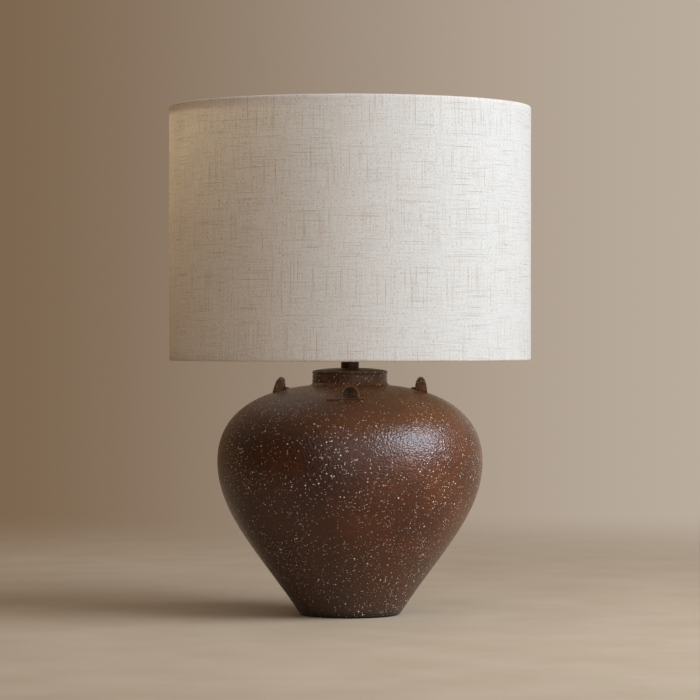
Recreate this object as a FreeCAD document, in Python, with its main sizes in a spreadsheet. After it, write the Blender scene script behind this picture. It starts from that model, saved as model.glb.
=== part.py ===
import FreeCAD, Part
import math
import operator
import os
import Sketcher

# Stoneware table lamp with a drum shade, in millimetres and degrees.
# +Z is up, the lamp's own axis is Z, its front is towards -Y.
# The origin lies under the middle of the felt, on the table.

SIZES = {
    # felt under the foot
    "felt_radius": 58.0,
    "felt_thickness": 2.0,
    # outside of the jar, heights from its own foot
    "jar_foot_radius": 65.0,
    "jar_foot_chamfer": 1.5,
    "jar_foot_slope_share": 0.619,
    "jar_foot_reach_share": 0.312,
    "jar_belly_radius": 167.9,
    "jar_belly_height": 191.5,
    "jar_belly_lower_share": 0.363,
    "jar_belly_upper_share": 0.633,
    "jar_shoulder_height": 288.1,
    "jar_shoulder_reach_share": 0.566,
    "jar_shoulder_slope_share": 0.099,
    "jar_flare_height": 9.1,
    "jar_flare_width": 5.1,
    "jar_flare_share": 0.7,
    "jar_collar_radius": 46.7,
    "jar_collar_length": 9.5,
    "jar_rim_bead": 0.9,
    "jar_rim_depth": 4.4,
    "jar_rim_round": 2.0,
    # inside of the jar
    "jar_wall": 7.0,
    "jar_mouth_radius": 40.0,
    "jar_floor_thickness": 8.0,
    "jar_floor_radius": 80.0,
    "foot_ring_width": 11.0,
    "foot_recess_height": 30.0,
    "foot_recess_radius": 72.0,
    "jar_hole_clearance": 0.7,
    # four arched lugs on the shoulder
    "lug_height": 17.6,
    "lug_base_width": 27.0,
    "lug_top_width": 18.5,
    "lug_leg_width": 3.8,
    "lug_strap": 3.6,
    "lug_base_depth": 15.0,
    "lug_top_depth": 8.0,
    "lug_corner_round": 4.0,
    "lug_crown_round": 3.4,
    "lug_root_depth": 14.0,
    "lug_side_share": 0.795,
    "lug_front_share": 0.661,
    # grommet where the lead leaves the foot, at the back
    "grommet_share": 0.073,
    "grommet_radius": 5.0,
    "grommet_flange_radius": 7.2,
    "grommet_flange_thickness": 1.6,
    "grommet_length": 11.5,
    "grommet_bore_radius": 3.6,
    "grommet_round": 0.5,
    # threaded rod that clamps the stack, with its nut and washer
    "rod_radius": 4.8,
    "rod_bore_radius": 3.4,
    "rod_clearance": 0.2,
    "rod_end": 0.8,
    "rod_reach": 9.0,
    "washer_radius": 14.0,
    "washer_thickness": 1.5,
    "nut_across_flats": 16.0,
    "nut_height": 6.0,
    # cap on the jar's mouth
    "cap_radius": 44.5,
    "cap_edge": 0.5,
    "cap_rise": 3.3,
    "cap_wall": 1.2,
    "cap_lip_depth": 4.0,
    "cap_lip_clearance": 0.8,
    # neck tube and the ring that closes its top
    "neck_radius": 11.4,
    "neck_wall": 1.2,
    "neck_length": 41.0,
    "check_ring_thickness": 2.0,
    "check_ring_margin": 0.6,
    "check_ring_round": 0.6,
    # harp saddle, a pressed strip with two posts
    "saddle_width": 14.0,
    "saddle_thickness": 1.6,
    "saddle_flat": 15.0,
    "saddle_rise": 6.0,
    "saddle_end": 3.6,
    "post_height": 11.0,
    # harp, a bent wire held on the posts by two ferrules
    "wire_radius": 1.9,
    "harp_leg_spread": 56.0,
    "harp_knee_height": 38.0,
    "harp_side_low_height": 108.0,
    "harp_side_high_height": 150.0,
    "harp_height": 247.1,
    "harp_side_spread": 114.0,
    "harp_top_spread": 56.0,
    "harp_knee_radius": 60.0,
    "harp_side_radius": 100.0,
    "harp_crown_radius": 22.0,
    "ferrule_length": 22.0,
    "ferrule_wall": 1.4,
    "ferrule_round": 0.5,
    "running_gap": 0.3,
    "stud_plate_radius": 9.0,
    "stud_plate_cover": 1.0,
    "stud_radius": 3.1,
    "stud_length": 9.5,
    # socket, heights from the saddle's strip
    "hub_radius": 7.0,
    "hub_height": 7.5,
    "hub_depth": 9.2,
    "dome_height": 13.0,
    "dome_wall": 0.8,
    "socket_cap_height": 19.4,
    "shell_radius": 17.0,
    "shell_wall": 0.6,
    "shell_overlap": 4.0,
    "shell_length": 40.0,
    "shell_lip": 1.2,
    "shell_lip_height": 3.0,
    "sleeve_wall": 0.8,
    "sleeve_gap": 0.1,
    "sleeve_length": 37.5,
    "core_thickness": 11.7,
    "thread_radius": 13.0,
    "thread_clearance": 0.35,
    "thread_shell_wall": 0.6,
    "thread_shell_length": 23.0,
    "thread_shell_hole_radius": 6.0,
    "contact_radius": 4.5,
    "contact_thickness": 0.8,
    "contact_tip_radius": 2.5,
    "contact_tip_height": 2.2,
    "terminal_spacing": 18.0,
    "terminal_head_radius": 3.0,
    "terminal_head_height": 1.8,
    "terminal_shank_radius": 1.7,
    "terminal_shank_length": 4.0,
    "set_screw_radius": 1.5,
    "set_screw_height": 4.0,
    "set_screw_head_radius": 2.6,
    "set_screw_head_length": 2.2,
    # turn switch on the socket's front
    "spindle_radius": 1.6,
    "spindle_height": 25.5,
    "spindle_depth": 12.0,
    "spindle_into_knob": 6.5,
    "knob_radius": 5.5,
    "knob_length": 13.5,
    "knob_waist_radius": 4.0,
    "knob_standoff": 0.6,
    "knob_round": 1.2,
    # bulb, heights from the tip of its contact
    "tip_radius": 3.2,
    "tip_height": 1.5,
    "tip_round": 1.0,
    "insulator_height": 4.0,
    "insulator_top_radius": 11.2,
    "insulator_low_radius": 5.2,
    "bulb_base_length": 21.0,
    "bulb_base_wall": 0.5,
    "bulb_base_chamfer": 1.5,
    "bulb_neck_depth": 4.5,
    "bulb_neck_rise": 3.5,
    "bulb_radius": 30.0,
    "bulb_length": 109.0,
    "bulb_wall": 0.9,
    "bulb_neck_share": 0.45,
    "round_share": 0.5523,
    # drum shade
    "shade_radius": 228.6,
    "shade_height": 320.2,
    "fabric_thickness": 0.6,
    "liner_thickness": 0.6,
    "liner_margin": 4.6,
    "ring_radius": 1.6,
    "ring_gap": 0.3,
    "hem_length": 6.0,
    # spider that carries the shade on the harp's stud
    "spider_drop": 13.9,
    "spider_hub_radius": 12.5,
    "spider_hub_thickness": 2.0,
    "spider_arm_radius": 1.5,
    "spider_arm_flat": 40.0,
    "spider_arm_ramp": 24.0,
    "spider_bend_radius": 14.0,
    "spider_hole_clearance": 0.5,
    # finial that screws on the stud
    "finial_flange_radius": 8.0,
    "finial_flange_thickness": 1.6,
    "finial_neck_radius": 5.2,
    "finial_base_height": 7.5,
    "finial_round": 0.5,
    "finial_knob_radius": 9.5,
    "finial_knob_height": 16.0,
    "finial_knob_foot_radius": 4.6,
    # how far a cutting body runs past what it cuts
    "overrun": 3.0,
}

ARM_ANGLES = (90, 210, 330)

doc = FreeCAD.newDocument("table_lamp")
sheet = doc.addObject("Spreadsheet::Sheet", "Sizes")
for row, (alias, number) in enumerate(SIZES.items(), start=1):
    sheet.set(f"A{row}", alias)
    sheet.set(f"B{row}", str(number))
    sheet.setAlias(f"B{row}", alias)
doc.recompute()


class Size:
    """A number together with the formula of sheet cells that gives it."""

    def __init__(self, value, formula):
        self.value = value
        self.formula = formula

    def joined(self, sign, other, work):
        other = as_size(other)
        return Size(work(self.value, other.value), f"({self.formula} {sign} {other.formula})")

    def __add__(self, other):
        return self.joined("+", other, operator.add)

    def __sub__(self, other):
        return self.joined("-", other, operator.sub)

    def __mul__(self, other):
        return self.joined("*", other, operator.mul)

    def __truediv__(self, other):
        return self.joined("/", other, operator.truediv)

    def __radd__(self, other):
        return as_size(other) + self

    def __rmul__(self, other):
        return as_size(other) * self

    def __neg__(self):
        return Size(-self.value, f"(0 - {self.formula})")


def as_size(number):
    return number if isinstance(number, Size) else Size(number, str(number))


def root(square):
    return Size(math.sqrt(square.value), f"sqrt({square.formula})")


class Named:
    """Each driving size of the sheet under its own name."""

    def __getattr__(self, alias):
        return Size(SIZES[alias], f"Sizes.{alias}")


size = Named()


def bind(thing, field, number):
    thing.setExpression(field, as_size(number).formula)


def place(thing, x=0, y=0, z=0, axis=(0, 0, 1), angle=0):
    turn = FreeCAD.Rotation(FreeCAD.Vector(*axis), as_size(angle).value)
    thing.Placement = FreeCAD.Placement(FreeCAD.Vector(0, 0, 0), turn)
    for letter, number in (("x", x), ("y", y), ("z", z)):
        bind(thing, f"Placement.Base.{letter}", number)
    if isinstance(angle, Size):
        bind(thing, "Placement.Rotation.Angle", angle)
    return thing


# An outline is a list of corners (x, y) or (x, y, rounding), in order round the piece.
# Between two corners a Curve gives the two inner poles of a cubic curve.


class Curve:
    def __init__(self, first, second):
        self.poles = (first, second)


def minus(a, b):
    return (a[0] - b[0], a[1] - b[1])


def unit(a):
    length = root(a[0] * a[0] + a[1] * a[1])
    return (a[0] / length, a[1] / length)


def along(point, direction, distance):
    return (point[0] + direction[0] * distance, point[1] + direction[1] * distance)


def tangent_points(before, corner, after, rounding):
    """Where a rounding of a corner begins and ends on the two sides that meet there."""
    arriving = unit(minus(corner, before))
    leaving = unit(minus(after, corner))
    cosine = arriving[0] * leaving[0] + arriving[1] * leaving[1]
    reach = rounding * root((as_size(1) - cosine) / (as_size(1) + cosine))
    turn = arriving[0].value * leaving[1].value - arriving[1].value * leaving[0].value
    return along(corner, arriving, -reach), along(corner, leaving, reach), turn > 0


def vector(point):
    return FreeCAD.Vector(point[0].value, point[1].value, 0)


def arc_between(start, end, radius, anticlockwise):
    """The short arc from start to end, and whether its own start is the outline's."""
    first, last = (start, end) if anticlockwise else (end, start)
    a, b = vector(first), vector(last)
    half = (b - a) * 0.5
    away = math.sqrt(max(radius.value**2 - half.Length**2, 0))
    left = FreeCAD.Vector(-half.y, half.x, 0).normalize()
    centre = a + half + left * away
    circle = Part.Circle(centre, FreeCAD.Vector(0, 0, 1), radius.value)
    angles = [math.atan2(p.y - centre.y, p.x - centre.x) for p in (a, b)]
    return Part.ArcOfCircle(circle, angles[0], angles[1]), anticlockwise


def sketch_on(body, name, role):
    sketch = body.newObject("Sketcher::SketchObject", name)
    plane = [f for f in body.Origin.OriginFeatures if f.Role == role][0]
    sketch.AttachmentSupport = [(plane, "")]
    sketch.MapMode = "FlatFace"
    return sketch


def fix(sketch, geometry, end, point):
    """Ties a point of the sketch to its two coordinates."""
    for kind, axis, number in (("DistanceX", -2, point[0]), ("DistanceY", -1, point[1])):
        if number.formula == "0":
            sketch.addConstraint(Sketcher.Constraint("PointOnObject", geometry, end, axis))
        elif number.value > 0:
            index = sketch.addConstraint(Sketcher.Constraint(kind, -1, 1, geometry, end, number.value))
            bind(sketch, f"Constraints[{index}]", number)
        else:
            index = sketch.addConstraint(Sketcher.Constraint(kind, geometry, end, -1, 1, -number.value))
            bind(sketch, f"Constraints[{index}]", -number)


def add_cubic(sketch, poles):
    """A cubic curve whose inner poles are tied to their coordinates."""
    points = [vector(p) for p in poles]
    curve = Part.BSplineCurve()
    curve.buildFromPolesMultsKnots(points, [4, 4], [0, 1], False, 3)
    index = sketch.addGeometry(curve, False)
    rings = [sketch.addGeometry(Part.Circle(p, FreeCAD.Vector(0, 0, 1), 1.0), True) for p in points]
    sketch.addConstraint(Sketcher.Constraint("Weight", rings[0], 1.0))
    for ring in rings[1:]:
        sketch.addConstraint(Sketcher.Constraint("Equal", rings[0], ring))
    kind = "InternalAlignment:Sketcher::BSplineControlPoint"
    for number, ring in enumerate(rings):
        sketch.addConstraint(Sketcher.Constraint(kind, ring, 3, index, number))
    for ring, pole in zip(rings[1:3], poles[1:3]):
        fix(sketch, ring, 3, pole)
    return index


def runs_of(outline, closed):
    """The straight runs, roundings and cubic curves of an outline, in order."""
    corners = [item for item in outline if not isinstance(item, Curve)]
    corners = [tuple(as_size(number) for number in corner) for corner in corners]
    curves = {}
    seen = -1
    for item in outline:
        if isinstance(item, Curve):
            curves[seen] = item
        else:
            seen += 1
    runs, ends = [], []
    for number, corner in enumerate(corners):
        if len(corner) < 3:
            ends.append((corner, corner))
            continue
        before, after = corners[number - 1], corners[(number + 1) % len(corners)]
        start, end, anticlockwise = tangent_points(before, corner[:2], after, corner[2])
        ends.append((start, end))
    last = len(corners) if closed else len(corners) - 1
    for number in range(len(corners)):
        if len(corners[number]) > 2:
            before, after = corners[number - 1], corners[(number + 1) % len(corners)]
            turn = tangent_points(before, corners[number][:2], after, corners[number][2])[2]
            runs.append(("arc", *ends[number], corners[number][2], turn))
        if number >= last:
            continue
        start, end = ends[number][1], ends[(number + 1) % len(corners)][0]
        if number in curves:
            poles = [tuple(as_size(c) for c in pole) for pole in curves[number].poles]
            runs.append(("curve", start, end, [start, *poles, end], None))
        elif (vector(end) - vector(start)).Length > 1e-6:
            runs.append(("line", start, end, None, None))
    return runs


def draw(sketch, outline, closed=True):
    """Draws an outline in a sketch and ties all its points to the sheet."""
    pieces = []
    for kind, start, end, detail, turn in runs_of(outline, closed):
        if kind == "line":
            index = sketch.addGeometry(Part.LineSegment(vector(start), vector(end)), False)
            pieces.append((index, 1, 2, start, end))
        elif kind == "arc":
            arc, forward = arc_between(start, end, detail, turn)
            index = sketch.addGeometry(arc, False)
            at_start, at_end = (1, 2) if forward else (2, 1)
            pieces.append((index, at_start, at_end, start, end))
            radius = sketch.addConstraint(Sketcher.Constraint("Radius", index, detail.value))
            bind(sketch, f"Constraints[{radius}]", detail)
        else:
            pieces.append((add_cubic(sketch, detail), 1, 2, start, end))
    for number, (index, at_start, at_end, start, end) in enumerate(pieces):
        fix(sketch, index, at_start, start)
        following = pieces[(number + 1) % len(pieces)]
        if closed or number < len(pieces) - 1:
            meeting = Sketcher.Constraint("Coincident", index, at_end, following[0], following[1])
            sketch.addConstraint(meeting)
        else:
            fix(sketch, index, at_end, end)
    return sketch


def new_body(name):
    body = doc.addObject("PartDesign::Body", name)
    body.Label = name
    return body


def spin(body, kind, name, outline):
    """Turns an outline in the XZ plane once about the Z axis, as added or removed material."""
    sketch = draw(sketch_on(body, name + "_outline", "XZ_Plane"), outline)
    feature = body.newObject(kind, name)
    feature.Profile = sketch
    feature.ReferenceAxis = (sketch, ["V_Axis"])
    feature.Angle = 360
    return feature


def turned(name, outline, z=0, y=0):
    """A piece of revolution about Z."""
    body = new_body(name)
    spin(body, "PartDesign::Revolution", "turning", outline)
    return place(body, y=y, z=z)


def prism(body, name, role, outline, length, kind="PartDesign::Pad"):
    """Pads or pockets an outline evenly to both sides of one of the body's planes."""
    sketch = draw(sketch_on(body, name + "_outline", role), outline)
    feature = body.newObject(kind, name)
    feature.Profile = sketch
    feature.SideType = "Symmetric"
    bind(feature, "Length", length)
    return feature


def cylinder(name, radius, height, **where):
    rod = doc.addObject("Part::Cylinder", name)
    bind(rod, "Radius", radius)
    bind(rod, "Height", height)
    return place(rod, **where)


def cut(name, base, tool):
    result = doc.addObject("Part::Cut", name)
    result.Base = base
    result.Tool = tool
    result.Label = name
    return result


def joined(name, shapes, kind="Part::MultiFuse"):
    result = doc.addObject(kind, name)
    if kind == "Part::Compound":
        result.Links = shapes
    else:
        result.Shapes = shapes
    result.Label = name
    return result


pieces = {}


def keep(name, thing):
    thing.Label = name
    pieces[name] = thing
    return thing


def between(first, second, share):
    return first + (second - first) * share


def cubic_point(poles, share):
    """The point of a cubic curve at a share of its parameter, by repeated halving of its poles."""
    while len(poles) > 1:
        poles = [(between(a[0], b[0], share), between(a[1], b[1], share)) for a, b in zip(poles, poles[1:])]
    return poles[0]


def cubic_direction(poles, share):
    """The direction in which the cubic curve runs there."""
    steps = [minus(b, a) for a, b in zip(poles, poles[1:])]
    return cubic_point(steps, share)


# Felt: a disc glued under the foot.

felt = turned(
    "felt_pad",
    [(0, 0), (size.felt_radius, 0), (size.felt_radius, size.felt_thickness), (0, size.felt_thickness)],
)
keep("felt_pad", felt)

# Jar: the wall is two cubic curves that meet upright at the belly, a flare and a beaded collar.

jar_z = size.felt_thickness
foot = (size.jar_foot_radius, size.jar_foot_chamfer)
belly = (size.jar_belly_radius, size.jar_belly_height)
shoulder = (size.jar_collar_radius + size.jar_flare_width, size.jar_shoulder_height)
foot_rise = (size.jar_belly_height - size.jar_foot_chamfer) * size.jar_foot_reach_share
lower_wall = [
    foot,
    (foot[0] + foot_rise * size.jar_foot_slope_share, foot[1] + foot_rise),
    (belly[0], belly[1] - (belly[1] - foot[1]) * size.jar_belly_lower_share),
    belly,
]
shoulder_reach = (belly[0] - shoulder[0]) * size.jar_shoulder_reach_share
upper_wall = [
    belly,
    (belly[0], belly[1] + (shoulder[1] - belly[1]) * size.jar_belly_upper_share),
    (shoulder[0] + shoulder_reach, shoulder[1] - shoulder_reach * size.jar_shoulder_slope_share),
    shoulder,
]
collar_foot = size.jar_shoulder_height + size.jar_flare_height
jar_top = collar_foot + size.jar_collar_length
bead_foot = jar_top - size.jar_rim_depth
rim_radius = size.jar_collar_radius + size.jar_rim_bead
jar_outside = [
    (0, 0),
    (foot[0] - size.jar_foot_chamfer, 0),
    foot,
    Curve(lower_wall[1], lower_wall[2]),
    belly,
    Curve(upper_wall[1], upper_wall[2]),
    shoulder,
    Curve(
        (shoulder[0] - size.jar_flare_width * size.jar_flare_share, shoulder[1]),
        (size.jar_collar_radius, collar_foot - size.jar_flare_height * size.jar_flare_share),
    ),
    (size.jar_collar_radius, collar_foot),
    (size.jar_collar_radius, bead_foot),
    (rim_radius, bead_foot + (rim_radius - size.jar_collar_radius)),
    (rim_radius, jar_top, size.jar_rim_round),
    (0, jar_top),
]

jar_form = turned("jar_form", jar_outside, z=jar_z)

# The hollow follows the outside, drawn in to the wall at the belly and under the shoulder.
floor_z = size.foot_recess_height + size.jar_floor_thickness
hollow_belly = size.jar_belly_radius - size.jar_wall
hollow_top = size.jar_shoulder_height - size.jar_wall
lower_spread = (hollow_belly - size.jar_floor_radius) / (belly[0] - foot[0])
lower_stretch = (belly[1] - floor_z) / (belly[1] - foot[1])
upper_spread = (hollow_belly - size.jar_mouth_radius) / (belly[0] - shoulder[0])
upper_stretch = (hollow_top - belly[1]) / (shoulder[1] - belly[1])


def inside_low(pole):
    return (
        size.jar_floor_radius + (pole[0] - foot[0]) * lower_spread,
        floor_z + (pole[1] - foot[1]) * lower_stretch,
    )


def inside_high(pole):
    return (
        size.jar_mouth_radius + (pole[0] - shoulder[0]) * upper_spread,
        belly[1] + (pole[1] - belly[1]) * upper_stretch,
    )


jar_hole = size.rod_radius + size.jar_hole_clearance
jar_hollow = [
    (0, 0),
    (size.jar_foot_radius - size.foot_ring_width, 0),
    (size.foot_recess_radius, size.foot_recess_height),
    (jar_hole, size.foot_recess_height),
    (jar_hole, floor_z),
    (size.jar_floor_radius, floor_z),
    Curve(inside_low(lower_wall[1]), inside_low(lower_wall[2])),
    (hollow_belly, belly[1]),
    Curve(inside_high(upper_wall[1]), inside_high(upper_wall[2])),
    (size.jar_mouth_radius, hollow_top),
    (size.jar_mouth_radius, jar_top),
    (0, jar_top),
]
thrown_jar = turned("thrown_jar", jar_outside, z=jar_z)
spin(thrown_jar, "PartDesign::Groove", "hollow", jar_hollow)

# Grommet: it stands square to the wall, so its axis slopes down and out at the back.
grommet_point = cubic_point(lower_wall, size.grommet_share)
grommet_way = cubic_direction(lower_wall, size.grommet_share)
grommet_tilt = grommet_way[0] / grommet_way[1]
grommet_angle = Size(
    90 + math.degrees(math.atan(grommet_tilt.value)),
    f"90 deg + atan({grommet_tilt.formula})",
)
grommet_place = {
    "y": grommet_point[0],
    "z": jar_z + grommet_point[1],
    "axis": (-1, 0, 0),
    "angle": grommet_angle,
}
grommet = new_body("cord_grommet")
spin(
    grommet,
    "PartDesign::Revolution",
    "turning",
    [
        (size.grommet_bore_radius, -size.grommet_length),
        (size.grommet_radius, -size.grommet_length),
        (size.grommet_radius, 0),
        (size.grommet_flange_radius, 0),
        (size.grommet_flange_radius, size.grommet_flange_thickness, size.grommet_round),
        (size.grommet_bore_radius, size.grommet_flange_thickness, size.grommet_round),
    ],
)
place(grommet, **grommet_place)
keep("cord_grommet", grommet)

grommet_way_out = new_body("grommet_way_out")
hole_end = size.grommet_length + size.overrun
spin(
    grommet_way_out,
    "PartDesign::Revolution",
    "turning",
    [
        (0, -hole_end),
        (size.grommet_radius, -hole_end),
        (size.grommet_radius, size.overrun),
        (0, size.overrun),
    ],
)
place(grommet_way_out, **grommet_place)
jar = keep("jar", cut("jar", thrown_jar, grommet_way_out))

# Lugs: an arch seen from outside, tapered to a rounded crown seen from the side.

half_base = size.lug_base_width / 2
half_top = size.lug_top_width / 2
hole_base = half_base - size.lug_leg_width
hole_top = half_top - size.lug_leg_width
hole_height = size.lug_height - size.lug_strap
lug_arch = new_body("lug_arch")
arch_outline = [
    (-half_base, -size.lug_root_depth),
    (-hole_base, -size.lug_root_depth),
    (-hole_base, 0),
    (-hole_top, hole_height, size.lug_crown_round),
    (hole_top, hole_height, size.lug_crown_round),
    (hole_base, 0),
    (hole_base, -size.lug_root_depth),
    (half_base, -size.lug_root_depth),
    (half_base, 0),
    (half_top, size.lug_height, size.lug_corner_round),
    (-half_top, size.lug_height, size.lug_corner_round),
    (-half_base, 0),
]
prism(lug_arch, "arch", "XZ_Plane", arch_outline, size.lug_base_depth + size.overrun)

lug_side = new_body("lug_side")
side_outline = [
    (-size.lug_base_depth / 2, -size.lug_root_depth),
    (size.lug_base_depth / 2, -size.lug_root_depth),
    (size.lug_base_depth / 2, 0),
    (size.lug_top_depth / 2, size.lug_height, size.lug_crown_round),
    (-size.lug_top_depth / 2, size.lug_height, size.lug_crown_round),
    (-size.lug_base_depth / 2, 0),
]
prism(lug_side, "side", "YZ_Plane", side_outline, size.lug_base_width + size.overrun)

front_seat = cubic_point(upper_wall, size.lug_front_share)
side_seat = cubic_point(upper_wall, size.lug_side_share)
lug_places = {
    "lug_front": {"y": -front_seat[0], "z": jar_z + front_seat[1], "angle": 0},
    "lug_back": {"y": front_seat[0], "z": jar_z + front_seat[1], "angle": 180},
    "lug_right": {"x": side_seat[0], "z": jar_z + side_seat[1], "angle": 90},
    "lug_left": {"x": -side_seat[0], "z": jar_z + side_seat[1], "angle": 270},
}
for name, where in lug_places.items():
    blank = joined(name + "_blank", [lug_arch, lug_side], "Part::MultiCommon")
    place(blank, **where)
    keep(name, cut(name, blank, jar_form))

# Rod with its washer and nut in the foot, and the stack that the rod clamps on the mouth.

rod_hole = size.rod_radius + size.rod_clearance
washer_z = jar_z + size.foot_recess_height - size.washer_thickness
washer = [
    (rod_hole, 0),
    (size.washer_radius, 0),
    (size.washer_radius, size.washer_thickness),
    (rod_hole, size.washer_thickness),
]
keep("base_washer", turned("base_washer", washer, z=washer_z))

nut_z = washer_z - size.nut_height
nut_blank = doc.addObject("Part::Prism", "nut_blank")
nut_blank.Polygon = 6
bind(nut_blank, "Circumradius", size.nut_across_flats / root(as_size(3)))
bind(nut_blank, "Height", size.nut_height)
nut_bore = cylinder("nut_bore", size.rod_radius, size.nut_height)
nut = cut("base_nut", nut_blank, nut_bore)
keep("base_nut", place(nut, z=nut_z))

cap_z = jar_z + jar_top
lip_radius = size.jar_mouth_radius - size.cap_lip_clearance
lip_inner = lip_radius - size.cap_wall
cap_flat = size.neck_radius + size.check_ring_margin
under_cap = size.cap_rise - size.cap_wall
vase_cap = [
    (rod_hole, under_cap),
    (cap_flat, under_cap),
    (lip_inner, 0),
    (lip_inner, -size.cap_lip_depth),
    (lip_radius, -size.cap_lip_depth),
    (lip_radius, 0),
    (size.cap_radius, 0),
    (size.cap_radius, size.cap_edge),
    Curve(
        (between(size.cap_radius, cap_flat, 1 / 3), between(size.cap_edge, size.cap_rise, 2 / 3)),
        (between(size.cap_radius, cap_flat, 2 / 3), size.cap_rise),
    ),
    (cap_flat, size.cap_rise),
    (rod_hole, size.cap_rise),
]
keep("vase_cap", turned("vase_cap", vase_cap, z=cap_z))

neck_z = cap_z + size.cap_rise
neck_inner = size.neck_radius - size.neck_wall
neck = [
    (neck_inner, 0),
    (size.neck_radius, 0),
    (size.neck_radius, size.neck_length),
    (neck_inner, size.neck_length),
]
keep("neck_tube", turned("neck_tube", neck, z=neck_z))

ring_z = neck_z + size.neck_length
check_ring_radius = size.neck_radius + size.check_ring_margin
check_ring = [
    (rod_hole, 0),
    (check_ring_radius, 0, size.check_ring_round),
    (check_ring_radius, size.check_ring_thickness, size.check_ring_round),
    (rod_hole, size.check_ring_thickness),
]
keep("neck_check_ring", turned("neck_check_ring", check_ring, z=ring_z))

saddle_z = ring_z + size.check_ring_thickness
socket_z = saddle_z + size.saddle_thickness
rod_z = nut_z - size.rod_end
rod_length = socket_z + size.rod_reach - rod_z
rod = [
    (size.rod_bore_radius, 0),
    (size.rod_radius, 0),
    (size.rod_radius, rod_length),
    (size.rod_bore_radius, rod_length),
]
keep("center_rod", turned("center_rod", rod, z=rod_z))

# Harp saddle: a strip that steps up to its ends, where a post stands for each leg of the harp.

leg_x = size.harp_leg_spread / 2
end_x = leg_x + size.saddle_end
ramp_x = leg_x - size.saddle_end
top_of = [(-end_x, size.saddle_rise), (-ramp_x, size.saddle_rise), (-size.saddle_flat, 0)]
underside = top_of + [(-x, z) for x, z in reversed(top_of)]
topside = [(x, z + size.saddle_thickness) for x, z in reversed(underside)]
saddle_strip = new_body("saddle_strip")
prism(saddle_strip, "strip", "XZ_Plane", underside + topside, size.saddle_width)
post_root = size.saddle_rise
post_length = size.saddle_thickness + size.post_height
saddle_posts = [
    cylinder("saddle_post", size.wire_radius, post_length, x=x, z=post_root) for x in (-leg_x, leg_x)
]
saddle_hole = cylinder("saddle_hole", rod_hole, size.saddle_thickness + size.overrun * 2, z=-size.overrun)
saddle_solid = joined("saddle_solid", [saddle_strip, *saddle_posts])
keep("harp_saddle", place(cut("harp_saddle", saddle_solid, saddle_hole), z=saddle_z))

# Harp: one wire from leg to leg, bent only in its own plane.

leg_z = saddle_z + post_root + post_length + size.running_gap
half_side = size.harp_side_spread / 2
half_crown = size.harp_top_spread / 2
right_side = [
    (leg_x, 0),
    (leg_x, size.harp_knee_height, size.harp_knee_radius),
    (half_side, size.harp_side_low_height, size.harp_side_radius),
    (half_side, size.harp_side_high_height, size.harp_side_radius),
    (half_crown, size.harp_height, size.harp_crown_radius),
]
left_side = [(-corner[0], *corner[1:]) for corner in reversed(right_side)]


def bent_wire(body, path, start_role, start, radius, offset=None):
    """A round wire along an open path in the body's XZ plane."""
    way = draw(sketch_on(body, "wire_path", "XZ_Plane"), path, closed=False)
    section = sketch_on(body, "wire_section", start_role)
    if offset is not None:
        bind(section, "AttachmentOffset.Base.z", offset)
    index = section.addGeometry(Part.Circle(vector(start), FreeCAD.Vector(0, 0, 1), radius.value), False)
    thickness = section.addConstraint(Sketcher.Constraint("Radius", index, radius.value))
    bind(section, f"Constraints[{thickness}]", radius)
    fix(section, index, 3, start)
    wire = body.newObject("PartDesign::AdditivePipe", "wire")
    wire.Profile = section
    wire.Spine = way
    return wire


harp_bow = new_body("harp_bow")
bent_wire(harp_bow, right_side + left_side, "XY_Plane", (leg_x, as_size(0)), size.wire_radius)
keep("harp_bow", place(harp_bow, z=leg_z))

ferrule_inner = size.wire_radius + size.running_gap
ferrule_outer = ferrule_inner + size.ferrule_wall
ferrule_z = saddle_z + size.saddle_rise + size.saddle_thickness + size.running_gap
ferrule = [
    (ferrule_inner, 0),
    (ferrule_outer, 0, size.ferrule_round),
    (ferrule_outer, size.ferrule_length, size.ferrule_round),
    (ferrule_inner, size.ferrule_length),
]
for name, x in (("ferrule_left", -leg_x), ("ferrule_right", leg_x)):
    body = turned(name, ferrule, z=ferrule_z)
    bind(body, "Placement.Base.x", x)
    keep(name, body)

# Stud: a small plate pressed over the wire's flat crown, with the threaded stud on it.

crown_z = leg_z + size.harp_height
plate_height = size.wire_radius + size.stud_plate_cover
stud = [
    (0, 0),
    (size.stud_plate_radius, 0),
    (size.stud_plate_radius, plate_height),
    (size.stud_radius, plate_height),
    (size.stud_radius, plate_height + size.stud_length),
    (0, plate_height + size.stud_length),
]
stud_blank = turned("stud_blank", stud, z=crown_z)
keep("harp_stud", cut("harp_stud", stud_blank, harp_bow))

# Socket: a spun cap on the rod, the shell with its paper sleeve, and the core with its contacts.

shell_inner = size.shell_radius - size.shell_wall
dome_inner = shell_inner - size.dome_wall
thread_bore = size.rod_radius
socket_cap = [
    (thread_bore, 0),
    (size.hub_radius, 0),
    (size.hub_radius, size.hub_height),
    (shell_inner, size.dome_height),
    (shell_inner, size.socket_cap_height),
    (dome_inner, size.socket_cap_height),
    (dome_inner, size.dome_height + size.dome_wall),
    (size.hub_radius + size.dome_wall, size.hub_depth),
    (thread_bore, size.hub_depth),
]
socket_cap_blank = turned("socket_cap_blank", socket_cap, z=socket_z)
set_screw_z = socket_z + size.set_screw_height
screw_place = {"z": set_screw_z, "axis": (-1, 0, 0), "angle": 90}
shank_length = size.hub_radius - size.rod_radius
set_screw_shank = cylinder(
    "set_screw_shank", size.set_screw_radius, shank_length, y=size.rod_radius, **screw_place
)
set_screw_head = cylinder(
    "set_screw_head",
    size.set_screw_head_radius,
    size.set_screw_head_length,
    y=size.hub_radius,
    **screw_place,
)
keep("socket_cap", cut("socket_cap", socket_cap_blank, set_screw_shank))
keep("socket_set_screw", joined("socket_set_screw", [set_screw_shank, set_screw_head]))

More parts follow.
